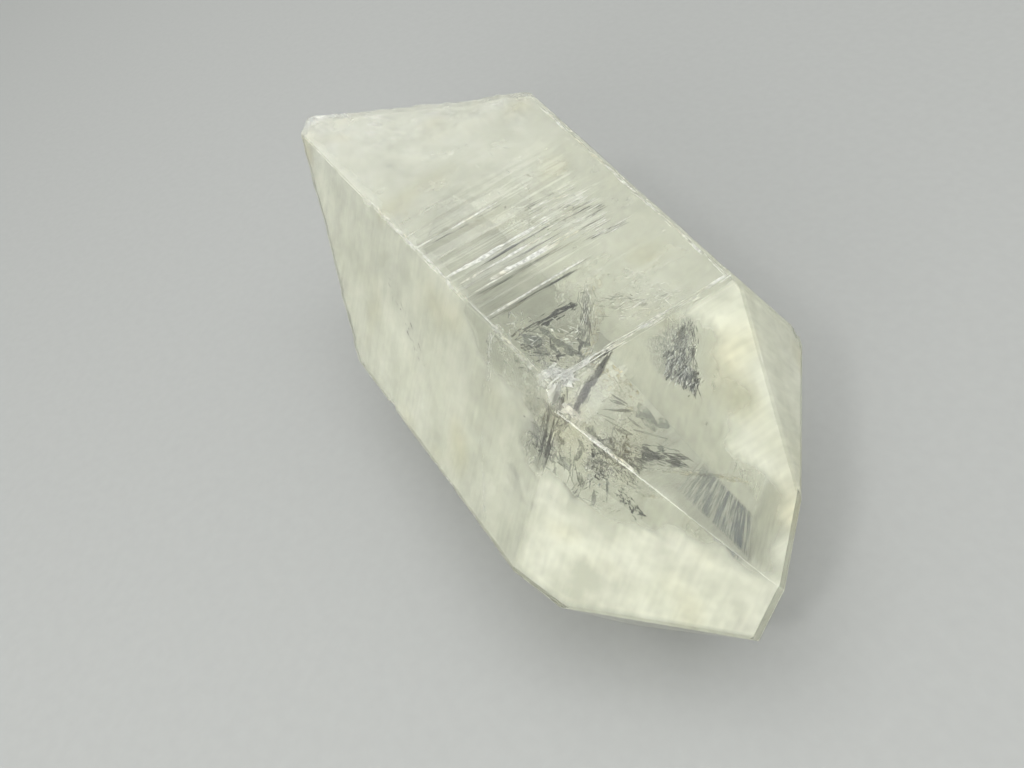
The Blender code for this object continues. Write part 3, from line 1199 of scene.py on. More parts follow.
@dataclass(frozen=True)
class Patches:
    """A patchy pattern: smooth noise whose values from start to end are spread over low to high."""

    size: float                      # mm from patch to patch
    detail: float
    start: float
    end: float
    low: float = 0.0
    high: float = 1.0
    roughness: float = 0.5

    def share(self, tree: bpy.types.NodeTree, place: bpy.types.NodeSocket) -> bpy.types.NodeSocket:
        """Lay the pattern over the piece.

        Args:
            tree: Node tree of the material.
            place: Coordinates in metres.

        Returns:
            The socket that tells how much of the pattern there is.
        """
        noise = add_node(
            tree, "ShaderNodeTexNoise",
            {"Scale": 1.0 / (self.size * MM), "Detail": self.detail, "Roughness": self.roughness},
            {"Vector": place})
        spread = add_node(
            tree, "ShaderNodeMapRange",
            {"From Min": self.start, "From Max": self.end, "To Min": self.low, "To Max": self.high},
            {"Value": noise.outputs["Fac"]})
        return spread.outputs[0]


@dataclass(frozen=True)
class GrownQuartz(Finish):
    """Hydrothermal quartz with natural growth faces: glass-clear, milky where tiny fluid bubbles fill it.

    Clear stretches are polished by growth and mirror sharply. Etched, striated and chipped stretches
    scatter, so they look frosted.
    """

    clear: str = "#f6f7ee"
    milk: str = "#eceee2"
    fresh: str = "#fbfbf6"
    iron: str = "#ddd2a4"
    depth_tint: str = "#d3d8ba"
    ior: float = 1.544
    transmission: float = 0.97
    absorption: float = 2.8                # per metre of path
    clear_roughness: float = 0.012
    frosted_roughness: float = 0.26
    broken_roughness: float = 0.32
    clouds: Patches = Patches(9.0, 4.0, 0.36, 0.64, roughness=0.7)
    stain: Patches = Patches(14.2857143, 1.0, 0.58, 0.76, high=0.4)
    etching: Patches = Patches(6.25, 2.0, 0.35, 0.65, 0.55, 1.25, 0.6)
    striation_pitch: float = 0.55          # mm; real striae are finer, this is as fine as shows
    striation_length: float = 22.2222222   # mm across a face
    striation_depth: float = 0.03          # mm
    grain_size: float = 0.9                # mm; etch pits, drawn as coarse as shows
    grain_depth: float = 0.01              # mm
    grain_turn: Place = (0.5, 0.7, 0.3)    # radians; keeps the pattern's lattice from lying along the faces

    def material(self) -> bpy.types.Material:
        """Build the node material.

        Returns:
            The material.
        """
        material, tree = new_material("grown milky quartz")
        place = add_node(tree, "ShaderNodeTexCoord").outputs["Object"]
        zone, worn, frost = (
            add_node(tree, "ShaderNodeAttribute", {"attribute_name": mark}).outputs["Fac"]
            for mark in ("zone", "worn", "frost"))
        broken = add_node(tree, "ShaderNodeMapRange", {"From Min": 0.75, "From Max": 1.0}, {"Value": zone})
        most = add_node(tree, "ShaderNodeMath", {"operation": "MAXIMUM"}, {0: worn, 1: broken.outputs[0]})
        shader = add_node(
            tree, "ShaderNodeBsdfPrincipled",
            {"IOR": self.ior, "Transmission Weight": self.transmission},
            {"Base Color": self.colour(tree, place, most.outputs[0]),
             "Roughness": self.roughness(tree, place, most.outputs[0], frost),
             "Normal": self.bump(tree, place, zone)})
        depth = add_node(tree, "ShaderNodeVolumeAbsorption",
                         {"Color": to_linear(self.depth_tint), "Density": self.absorption})
        add_node(tree, "ShaderNodeOutputMaterial", None,
                 {"Surface": shader.outputs[0], "Volume": depth.outputs[0]})
        return material

    def colour(self, tree: bpy.types.NodeTree, place: bpy.types.NodeSocket,
               worn: bpy.types.NodeSocket) -> bpy.types.NodeSocket:
        """Mix milky and clear quartz in clouds, with a trace of iron tint; what is worn is whitest.

        Args:
            tree: Node tree of the material.
            place: Object coordinates.
            worn: Marks of chips, worn edges and the break.

        Returns:
            The colour socket.
        """
        body = add_node(tree, "ShaderNodeMix",
                        {"data_type": "RGBA", 6: to_linear(self.milk), 7: to_linear(self.clear)},
                        {0: self.clouds.share(tree, place)})
        tinted = add_node(tree, "ShaderNodeMix", {"data_type": "RGBA", 7: to_linear(self.iron)},
                          {0: self.stain.share(tree, place), 6: body.outputs[2]})
        chipped = add_node(tree, "ShaderNodeMix", {"data_type": "RGBA", 7: to_linear(self.fresh)},
                           {0: worn, 6: tinted.outputs[2]})
        return chipped.outputs[2]

    def roughness(self, tree: bpy.types.NodeTree, place: bpy.types.NodeSocket, worn: bpy.types.NodeSocket,
                  frost: bpy.types.NodeSocket) -> bpy.types.NodeSocket:
        """Go from polished windows over etched faces to chips and the break.

        Args:
            tree: Node tree of the material.
            place: Object coordinates.
            worn: Marks of chips, worn edges and the break.
            frost: Marks of etched stretches.

        Returns:
            The roughness socket.
        """
        etched = add_node(tree, "ShaderNodeMath", {"operation": "MULTIPLY", "use_clamp": True},
                          {0: frost, 1: self.etching.share(tree, place)})
        satin = add_node(tree, "ShaderNodeMix",
                         {"data_type": "FLOAT", 2: self.clear_roughness, 3: self.frosted_roughness},
                         {0: etched.outputs[0]})
        rough = add_node(tree, "ShaderNodeMix", {"data_type": "FLOAT", 3: self.broken_roughness},
                         {0: worn, 2: satin.outputs[0]})
        return rough.outputs[0]

    def bump(self, tree: bpy.types.NodeTree, place: bpy.types.NodeSocket,
             zone: bpy.types.NodeSocket) -> bpy.types.NodeSocket:
        """Raise fine striae across the axis on the prism faces, and etch grain all over.

        Args:
            tree: Node tree of the material.
            place: Object coordinates.
            zone: Kind of surface.

        Returns:
            The normal socket.
        """
        along, across = (1.0 / (size * MM) for size in (self.striation_pitch, self.striation_length))
        stretched = add_node(tree, "ShaderNodeMapping", {"Scale": (along, across, across)},
                             {"Vector": place})
        striae = add_node(tree, "ShaderNodeTexNoise", {"Scale": 1.0, "Detail": 1.0, "Roughness": 0.6},
                          {"Vector": stretched.outputs[0]})
        prism = add_node(tree, "ShaderNodeMapRange",
                         {"From Min": 0.1, "From Max": 0.5, "To Min": 1.0, "To Max": 0.12}, {"Value": zone})
        lines = add_node(tree, "ShaderNodeMath", {"operation": "MULTIPLY"},
                         {0: striae.outputs["Fac"], 1: prism.outputs[0]})
        first = add_node(tree, "ShaderNodeBump", {"Strength": 0.5, "Distance": self.striation_depth * MM},
                         {"Height": lines.outputs[0]})
        turned = add_node(tree, "ShaderNodeMapping", {"Rotation": self.grain_turn}, {"Vector": place})
        grain = add_node(tree, "ShaderNodeTexNoise", {"Scale": 1.0 / (self.grain_size * MM), "Detail": 1.0},
                         {"Vector": turned.outputs[0]})
        second = add_node(tree, "ShaderNodeBump", {"Strength": 0.15, "Distance": self.grain_depth * MM},
                          {"Height": grain.outputs["Fac"], "Normal": first.outputs[0]})
        return second.outputs[0]


@dataclass(frozen=True)
class AirGap(Finish):
    """Air in an open crack inside quartz: light that meets it at a slant is mirrored whole.

    The index is air over quartz, 1 / 1.544, which gives the silvery flashes of a real crack.
    """

    ior: float = 0.648
    roughness: float = 0.06
    tooth_size: float = 0.4          # mm
    tooth_depth: float = 0.03        # mm

    def material(self) -> bpy.types.Material:
        """Build the node material.

        Returns:
            The material.
        """
        material, tree = new_material("air gap in quartz")
        place = add_node(tree, "ShaderNodeTexCoord").outputs["Object"]
        tooth = add_node(tree, "ShaderNodeTexNoise", {"Scale": 1.0 / (self.tooth_size * MM), "Detail": 2.0},
                         {"Vector": place})
        bump = add_node(tree, "ShaderNodeBump", {"Strength": 0.4, "Distance": self.tooth_depth * MM},
                        {"Height": tooth.outputs["Fac"]})
        shader = add_node(tree, "ShaderNodeBsdfGlass", {"IOR": self.ior, "Roughness": self.roughness},
                          {"Normal": bump.outputs[0]})
        add_node(tree, "ShaderNodeOutputMaterial", None, {"Surface": shader.outputs[0]})
        return material


@dataclass(frozen=True)
class SealedBubbles(Finish):
    """Tiny fluid bubbles sealed in a healed crack: a wispy white haze, seen as clouds and strings."""

    haze: str = "#f2f3ea"
    iron: str = "#cdbf8a"
    wisps: Patches = Patches(5.0, 3.0, 0.42, 0.66, roughness=0.65)
    bubbles: Patches = Patches(0.7, 1.0, 0.42, 0.62, high=0.75)   # as fine as shows; real ones are finer
    stain: Patches = Patches(16.6666667, 1.0, 0.52, 0.70, high=0.8)

    def material(self) -> bpy.types.Material:
        """Build the node material.

        Returns:
            The material.
        """
        material, tree = new_material("sealed bubble haze")
        place = add_node(tree, "ShaderNodeTexCoord").outputs["Object"]
        alpha = add_node(tree, "ShaderNodeMath", {"operation": "MULTIPLY"},
                         {0: self.wisps.share(tree, place), 1: self.bubbles.share(tree, place)})
        colour = add_node(tree, "ShaderNodeMix",
                          {"data_type": "RGBA", 6: to_linear(self.haze), 7: to_linear(self.iron)},
                          {0: self.stain.share(tree, place)})
        shader = add_node(tree, "ShaderNodeBsdfPrincipled", {"Roughness": 0.45},
                          {"Base Color": colour.outputs[2], "Alpha": alpha.outputs[0]})
        add_node(tree, "ShaderNodeOutputMaterial", None, {"Surface": shader.outputs[0]})
        return material


@dataclass(frozen=True)
class GrowthHaze(Finish):
    """Quartz full of bubbles too fine to see one by one: an even, soft milk that lets some light through."""

    milk: str = "#fbfbf0"
    cloud_size: float = 10.0         # mm across a thicker cloud
    streak: tuple[float, float] = (0.8, 9.0)   # mm along the axis and across; drawn as coarse as shows
    streak_share: float = 0.18
    thin: float = 0.28
    thick: float = 0.56

    def material(self) -> bpy.types.Material:
        """Build the node material.

        Returns:
            The material.
        """
        material, tree = new_material("milky growth layer")
        place = add_node(tree, "ShaderNodeTexCoord").outputs["Object"]
        clouds = add_node(tree, "ShaderNodeTexNoise",
                          {"Scale": 1.0 / (self.cloud_size * MM), "Detail": 3.0, "Roughness": 0.6},
                          {"Vector": place})
        along, across = (1.0 / (size * MM) for size in self.streak)
        stretched = add_node(tree, "ShaderNodeMapping", {"Scale": (along, across, across)}, {"Vector": place})
        streaks = add_node(tree, "ShaderNodeTexNoise", {"Scale": 1.0, "Detail": 2.0, "Roughness": 0.6},
                           {"Vector": stretched.outputs[0]})
        both = add_node(tree, "ShaderNodeMix", {"data_type": "FLOAT", 0: self.streak_share},
                        {2: clouds.outputs["Fac"], 3: streaks.outputs["Fac"]})
        share = add_node(tree, "ShaderNodeMapRange",
                         {"From Min": 0.36, "From Max": 0.64, "To Min": self.thin, "To Max": self.thick},
                         {"Value": both.outputs[0]})
        dense = add_node(tree, "ShaderNodeAttribute", {"attribute_name": "dense"}).outputs["Fac"]
        alpha = add_node(tree, "ShaderNodeMath", {"operation": "MULTIPLY", "use_clamp": True},
                         {0: share.outputs[0], 1: dense})
        shader = add_node(tree, "ShaderNodeBsdfPrincipled",
                          {"Base Color": to_linear(self.milk), "Roughness": 0.6}, {"Alpha": alpha.outputs[0]})
        add_node(tree, "ShaderNodeOutputMaterial", None, {"Surface": shader.outputs[0]})
        return material


@dataclass(frozen=True)
class PaintedFilm(Finish):
    """Patchy film on thin cracks: dark for painted reflection, grey for painted shade, white for crushed
    quartz and painted highlights.

    It is patchy, so it looks like soft pencil or chalk.
    """

    name: str = "painted dark reflection"
    # near black by default: painted dark reflection in the cracks
    film: str = "#121513"
    rust: str = "#6f6544"
    patches: Patches = Patches(1.6, 3.0, 0.38, 0.58, low=0.45, roughness=0.7)
    stain: Patches = Patches(6.25, 1.0, 0.54, 0.70, high=0.7)

    def material(self) -> bpy.types.Material:
        """Build the node material.

        Returns:
            The material.
        """
        material, tree = new_material(self.name)
        place = add_node(tree, "ShaderNodeTexCoord").outputs["Object"]
        colour = add_node(tree, "ShaderNodeMix",
                          {"data_type": "RGBA", 6: to_linear(self.film), 7: to_linear(self.rust)},
                          {0: self.stain.share(tree, place)})
        shader = add_node(tree, "ShaderNodeBsdfPrincipled", {"Roughness": 0.4},
                          {"Base Color": colour.outputs[2], "Alpha": self.patches.share(tree, place)})
        add_node(tree, "ShaderNodeOutputMaterial", None, {"Surface": shader.outputs[0]})
        return material


@dataclass(frozen=True)
class PaintedShadeSheet(Finish):
    """A thin grey-blue sheet of painted shade, striped where denser: it dims what lies behind it."""

    # grey-blue of the painted shade
    shade_colour: str = "#4a545f"
    dense: float = 0.95

    def material(self) -> bpy.types.Material:
        """Build the node material.

        Returns:
            The material.
        """
        material, tree = new_material("painted shade layer")
        place = add_node(tree, "ShaderNodeAttribute", {"attribute_name": "stripe_place"}).outputs["Vector"]
        fade = add_node(tree, "ShaderNodeAttribute", {"attribute_name": "fade"}).outputs["Fac"]
        stripes = add_node(tree, "ShaderNodeTexNoise", {"Scale": 1.0, "Detail": 3.0, "Roughness": 0.7},
                           {"Vector": place})
        thick = add_node(tree, "ShaderNodeMapRange",
                         {"From Min": 0.42, "From Max": 0.58, "To Max": self.dense},
                         {"Value": stripes.outputs["Fac"]})
        alpha = add_node(tree, "ShaderNodeMath", {"operation": "MULTIPLY"}, {0: thick.outputs[0], 1: fade})
        shader = add_node(tree, "ShaderNodeBsdfPrincipled",
                          {"Base Color": to_linear(self.shade_colour), "Roughness": 0.5},
                          {"Alpha": alpha.outputs[0]})
        add_node(tree, "ShaderNodeOutputMaterial", None, {"Surface": shader.outputs[0]})
        return material


@dataclass(frozen=True)
class MattBoard(Finish):
    """Pale grey matt painted board: even and soft, with the faintest tooth."""

    low: str = "#888987"
    high: str = "#8e8f8d"
    tooth_size: float = 2.5          # mm; brushed paint, drawn as coarse as shows

    def material(self) -> bpy.types.Material:
        """Build the node material.

        Returns:
            The material.
        """
        material, tree = new_material("pale matt board")
        place = add_node(tree, "ShaderNodeTexCoord").outputs["Object"]
        tooth = add_node(tree, "ShaderNodeTexNoise", {"Scale": 1.0 / (self.tooth_size * MM), "Detail": 3.0},
                         {"Vector": place})
        tone = add_node(tree, "ShaderNodeMix",
                        {"data_type": "RGBA", 6: to_linear(self.low), 7: to_linear(self.high)},
                        {0: tooth.outputs["Fac"]})
        shader = add_node(tree, "ShaderNodeBsdfPrincipled", {"Roughness": 0.65},
                          {"Base Color": tone.outputs[2]})
        add_node(tree, "ShaderNodeOutputMaterial", None, {"Surface": shader.outputs[0]})
        return material


# --- Studio -------------------------------------------------------------------------------------------


@dataclass(frozen=True)
class SoftBox:
    """A rectangular soft light, in metres and watts."""

    name: str
    place: Place
    size: tuple[float, float]
    power: float

    def build(self, target: Vector) -> bpy.types.Object:
        """Hang the light and turn it to the target.

        Args:
            target: Where it points.

        Returns:
            The light's object.
        """
        lamp = bpy.data.lights.new(self.name, "AREA")
        lamp.shape = "RECTANGLE"
        lamp.size, lamp.size_y = self.size
        lamp.energy = self.power
        obj = link_object(self.name, lamp)
        obj.location = self.place
        obj.rotation_euler = (target - Vector(self.place)).to_track_quat("-Z", "Y").to_euler()
        return obj


@dataclass
class Studio:
    """Pale floor, soft lights and the camera."""

    floor_radius: float = 3.0
    floor_corners: int = 96
    sky: str = "#e4e6e4"
    sky_strength: float = 1.2
    target: Place = (0.0, 0.0, 0.03)
    bounces: int = 8
    clear_walls: int = 12
    lens: float = 30.586
    sensor: float = 36.0
    clip: tuple[float, float] = (0.005, 20.0)
    camera_place: Place = (0.12537, -0.040355, 0.140637)
    camera_right: Place = (0.47432, 0.84151, -0.25861)
    camera_down: Place = (0.54189, -0.51059, -0.66757)
    boxes: tuple[SoftBox, ...] = (
        SoftBox("top_box", (0.10, 0.05, 0.78), (0.90, 0.90), 5.0),
        SoftBox("key_box", (-0.65, 0.105, 0.32), (0.34, 0.22), 0.25),
        SoftBox("spark_box", (0.25, -0.35, 0.55), (0.08, 0.08), 1.2),
        SoftBox("fill_box", (0.55, -0.52, 0.30), (0.50, 0.40), 4.2),
    )

    def build(self) -> None:
        """Build everything round the crystal."""
        self.build_floor()
        self.build_sky()
        for box in self.boxes:
            box.build(Vector(self.target))
        self.build_camera()
        self.set_light_paths()

    def build_floor(self) -> None:
        """Lay a round floor: (r cos t, r sin t, 0) with t once round."""
        turn = np.linspace(0.0, 2.0 * math.pi, self.floor_corners, endpoint=False)
        rim = np.stack([np.cos(turn), np.sin(turn), turn * 0.0], axis=1) * self.floor_radius
        mesh = bpy.data.meshes.new("floor")
        mesh.from_pydata(rim.tolist(), [], [list(range(self.floor_corners))])
        mesh.materials.append(MattBoard().material())
        link_object("floor", mesh)

    def build_sky(self) -> None:
        """Surround the studio with an even grey."""
        world = bpy.data.worlds.new("studio")
        world.use_nodes = True
        background = world.node_tree.nodes["Background"]
        background.inputs["Color"].default_value = to_linear(self.sky)
        background.inputs["Strength"].default_value = self.sky_strength
        world.cycles.sampling_method = "NONE"
        bpy.context.scene.world = world

    def build_camera(self) -> None:
        """Place the camera: its axes are right, up and back."""
        lens = bpy.data.cameras.new("camera")
        lens.lens, lens.sensor_width = self.lens, self.sensor
        lens.clip_start, lens.clip_end = self.clip
        camera = link_object("camera", lens)
        right, down = Vector(self.camera_right), Vector(self.camera_down)
        turn = Matrix((right, -down, down.cross(right))).transposed().to_4x4()
        camera.matrix_world = Matrix.Translation(self.camera_place) @ turn
        bpy.context.scene.camera = camera
        bpy.context.scene.view_settings.view_transform = "Standard"

    def set_light_paths(self) -> None:
        """Set how often light may bend, and how many see-through sheets it may cross."""
        cycles = bpy.context.scene.cycles
        cycles.max_bounces = self.bounces
        cycles.transmission_bounces = self.bounces
        cycles.transparent_max_bounces = self.clear_walls


# --- Making -------------------------------------------------------------------------------------------


def straight(x: float, end: float, high: float, spread: float, count: int, width: tuple[float, float],
             seed: int) -> tuple:
    """Give the fields of a bundle of long cracks straight across the near half of the top face.

    Args:
        x: Place along the crystal.
        end: Place across it where the bundle ends.
        high: Height over the ground.
        spread: How wide the bundle is, along the crystal.
        count: Number of cracks.
        width: Least and greatest width of a crack.
        seed: Number that picks the pattern.

    Returns:
        The fields of a CrackFan, in order.
    """
    start, deep, length = (x, -14.0, high), (spread, 0.0, -0.2), (4.0, 12.0)
    return start, (x, end, high), deep, count, length, width, 0.06, 0.01, seed


# face, start, end, low, high, depth, tread, strip, seed
GROWTH = tuple(Growth(*row) for row in (
    (1, 20.5, 48.5, -3.9, 19.0, 0.12, 1.8, 70.0, 1.0),
    (1, 0.3, 22.0, -3.9, 19.0, 0.03, 2.4, 24.0, 9.0),
    (1, 24.0, 56.0, -22.0, -3.7, 0.10, 2.2, 9.0, 2.0),
    (1, 0.3, 27.0, -22.0, -3.7, 0.04, 2.6, 14.0, 10.0),
    (1, 44.0, 100.0, -22.0, 19.0, 0.04, 3.6, 50.0, 3.0),
    (2, 2.0, 74.0, -22.0, 20.0, 0.10, 2.6, 16.0, 4.0),
    (3, 6.0, 60.0, -24.0, 24.0, 0.12, 2.6, 16.0, 5.0),
    (4, 3.0, 60.0, -24.0, 24.0, 0.07, 2.0, 14.0, 6.0),
    (5, 3.0, 66.0, -24.0, 24.0, 0.07, 2.4, 14.0, 7.0),
    (6, 3.0, 64.0, -24.0, 24.0, 0.14, 2.2, 14.0, 8.0),
))

# face, behind, rise, run, recover, low, high
LEDGES = tuple(Ledge(*row) for row in (
    (1, 48.2, 0.10, 0.8, 5.0, -1.5, 15.6),
    (1, 41.7, 0.14, 0.6, 4.0, -3.8, 15.6),
    (1, 36.0, 0.14, 1.1, 5.0, -3.8, 15.6),
    (1, 32.4, 0.10, 0.7, 3.0, -3.8, 15.6),
    (1, 29.4, 0.18, 1.4, 6.5, -3.8, 15.6),
    (1, 25.0, 0.06, 0.6, 3.5, -3.8, 15.6),
    (1, 21.3, 0.10, 0.7, 9.0, -3.8, 15.6),
    (1, 39.0, 0.10, 0.8, 4.0, -17.6, -3.8),
    (1, 33.0, 0.14, 0.9, 4.5, -17.6, -3.8),
    (1, 27.6, 0.14, 0.8, 6.0, -17.6, -3.8),
    (1, 17.0, 0.06, 0.6, 8.0, -17.6, 2.0),
    (1, 44.8, 0.06, 0.5, 3.0, -3.8, 15.6),
    (1, 39.2, 0.05, 0.5, 2.5, -3.8, 12.0),
    (1, 52.6, 0.05, 0.6, 5.0, -6.0, 15.6),
    (1, 57.5, 0.04, 0.6, 5.0, 1.0, 15.6),
    (1, 7.5, 0.04, 0.5, 4.0, -17.6, -1.0),
    (1, 4.2, 0.04, 0.5, 3.0, -17.6, -4.0),
    (1, 1.9, 0.03, 0.4, 2.0, -17.6, 4.0),
    (1, 12.0, 0.05, 0.5, 4.0, -17.6, -6.0),
    (1, 30.2, 0.10, 0.7, 3.0, -12.5, -3.8),
    (1, 24.6, 0.06, 0.5, 3.0, -15.0, -5.0),
    (6, 31.0, 0.14, 0.9, 6.0, -12.0, 17.0),
))

# face_a, face_b, behind, length, depth
CHIPS = tuple(Chip(*row) for row in (
    (1, 2, -0.6, 3.4, 1.3),
    (1, 2, 3.3, 2.6, 0.7),
    (1, 2, 9.0, 3.4, 0.5),
    (1, 2, 33.0, 4.4, 0.5),
    (1, 2, 52.0, 3.6, 0.6),
    (1, 2, 71.0, 5.6, 0.8),
    (2, 3, 30.0, 3.2, 0.4),
    (2, 3, 47.0, 4.6, 0.9),
    (3, 4, 18.0, 4.6, 0.8),
    (4, 5, 12.0, 4.0, 0.7),
    (4, 5, 38.0, 5.4, 0.7),
    (5, 6, -0.4, 3.6, 1.5),
    (5, 6, 6.0, 4.2, 0.7),
    (6, 1, 27.0, 3.8, 0.5),
))

# middle, size
WINDOWS = tuple(Window(*row) for row in (
    ((-12.0, -9.0, 24.0), (20.0, 11.0, 10.0)),
    ((8.0, -14.0, 18.0), (15.0, 12.0, 14.0)),
    ((8.0, 0.0, 18.0), (13.0, 10.0, 10.0)),
    ((20.0, -3.0, 8.0), (14.0, 8.0, 10.0)),
    ((4.0, 3.5, 24.0), (9.0, 8.0, 8.0)),
    ((3.0, -5.0, 24.0), (8.0, 7.0, 8.0)),
    ((14.5, -5.0, 13.5), (9.0, 8.0, 8.0)),
))

# Bundles of cracks: start, end, deep, count, length, width, scatter, tangle, seed
FANS = tuple(CrackFan(*row) for row in (
    # feather under the top face, running down past the shoulder
    ((27.0, 1.5, 50.2), (36.5, -4.5, 50.5), (-5.0, 2.1, -9.6), 46, (1.5, 7.0), (0.6, 2.6), 0.5, 0.16, 11),
    ((40.7, -5.3, 51.0), (43.2, -11.5, 49.0), (-5.0, 1.2, -7.5), 34, (1.5, 6.0), (0.8, 3.0), 0.5, 0.18, 12),
    # crushed patch behind the front corner of the top face
    ((33.0, -12.0, 51.5), (41.5, -12.0, 51.8), (-0.8, 0.6, -3.0), 120, (0.5, 2.0), (0.3, 1.0), 0.9, 0.9, 13),
    ((23.5, -12.3, 50.6), (33.0, -10.5, 50.0), (-2.0, 1.5, -5.0), 90, (0.5, 2.6), (0.3, 1.1), 1.6, 0.8, 14),
    # broken corner flash
    ((44.2, -14.2, 49.4), (45.6, -13.4, 48.2), (-1.0, 0.8, -1.5), 16, (1.0, 2.6), (0.8, 1.8), 0.5, 0.5, 15),
    # dark feather under the second face
    ((41.9, -13.5, 48.0), (40.0, -17.8, 37.5), (-4.0, 4.6, -5.0), 60, (1.0, 5.0), (0.6, 2.4), 1.0, 0.3, 16),
    # mottled patch below the ridge of the first two tip faces
    ((46.6, -11.4, 41.5), (47.6, -13.0, 36.8), (-3.0, 3.0, -4.0), 90, (0.5, 2.2), (0.4, 1.4), 1.6, 0.6, 17),
    # small slanting scratches inside the second tip face
    ((46.2, -18.9, 34.8), (53.6, -13.4, 32.7), (-2.0, 1.2, -2.5), 16, (0.8, 3.4), (0.2, 0.6), 1.4, 0.25, 18),
    # bright string under the second prism face
    ((27.4, -21.6, 35.8), (29.8, -25.6, 27.5), (-1.5, 1.5, -1.5), 40, (0.8, 3.4), (0.3, 1.0), 0.35, 0.3, 19),
    ((24.2, -14.6, 50.4), (26.6, -19.8, 40.0), (-1.5, 1.8, -1.5), 36, (0.8, 3.0), (0.3, 0.9), 0.6, 0.4, 20),
    # platelets of the textured veil behind the first tip face
    ((43.3, 3.1, 47.6), (47.2, 3.6, 44.2), (-2.0, 4.8, 2.2), 80, (0.4, 1.8), (0.2, 0.6), 0.9, 0.25, 21),
    # crushed spot at the far corner
    ((46.4, 22.6, 38.2), (47.6, 21.2, 38.0), (-1.0, -0.6, -1.2), 40, (0.4, 1.4), (0.3, 1.0), 0.6, 0.9, 22),
    # scattered flakes in the rear and under the far edge
    ((-30.0, 8.0, 50.0), (10.0, 10.0, 49.0), (-3.0, 1.0, -8.0), 60, (0.6, 3.0), (0.3, 1.2), 3.0, 0.5, 23),
))

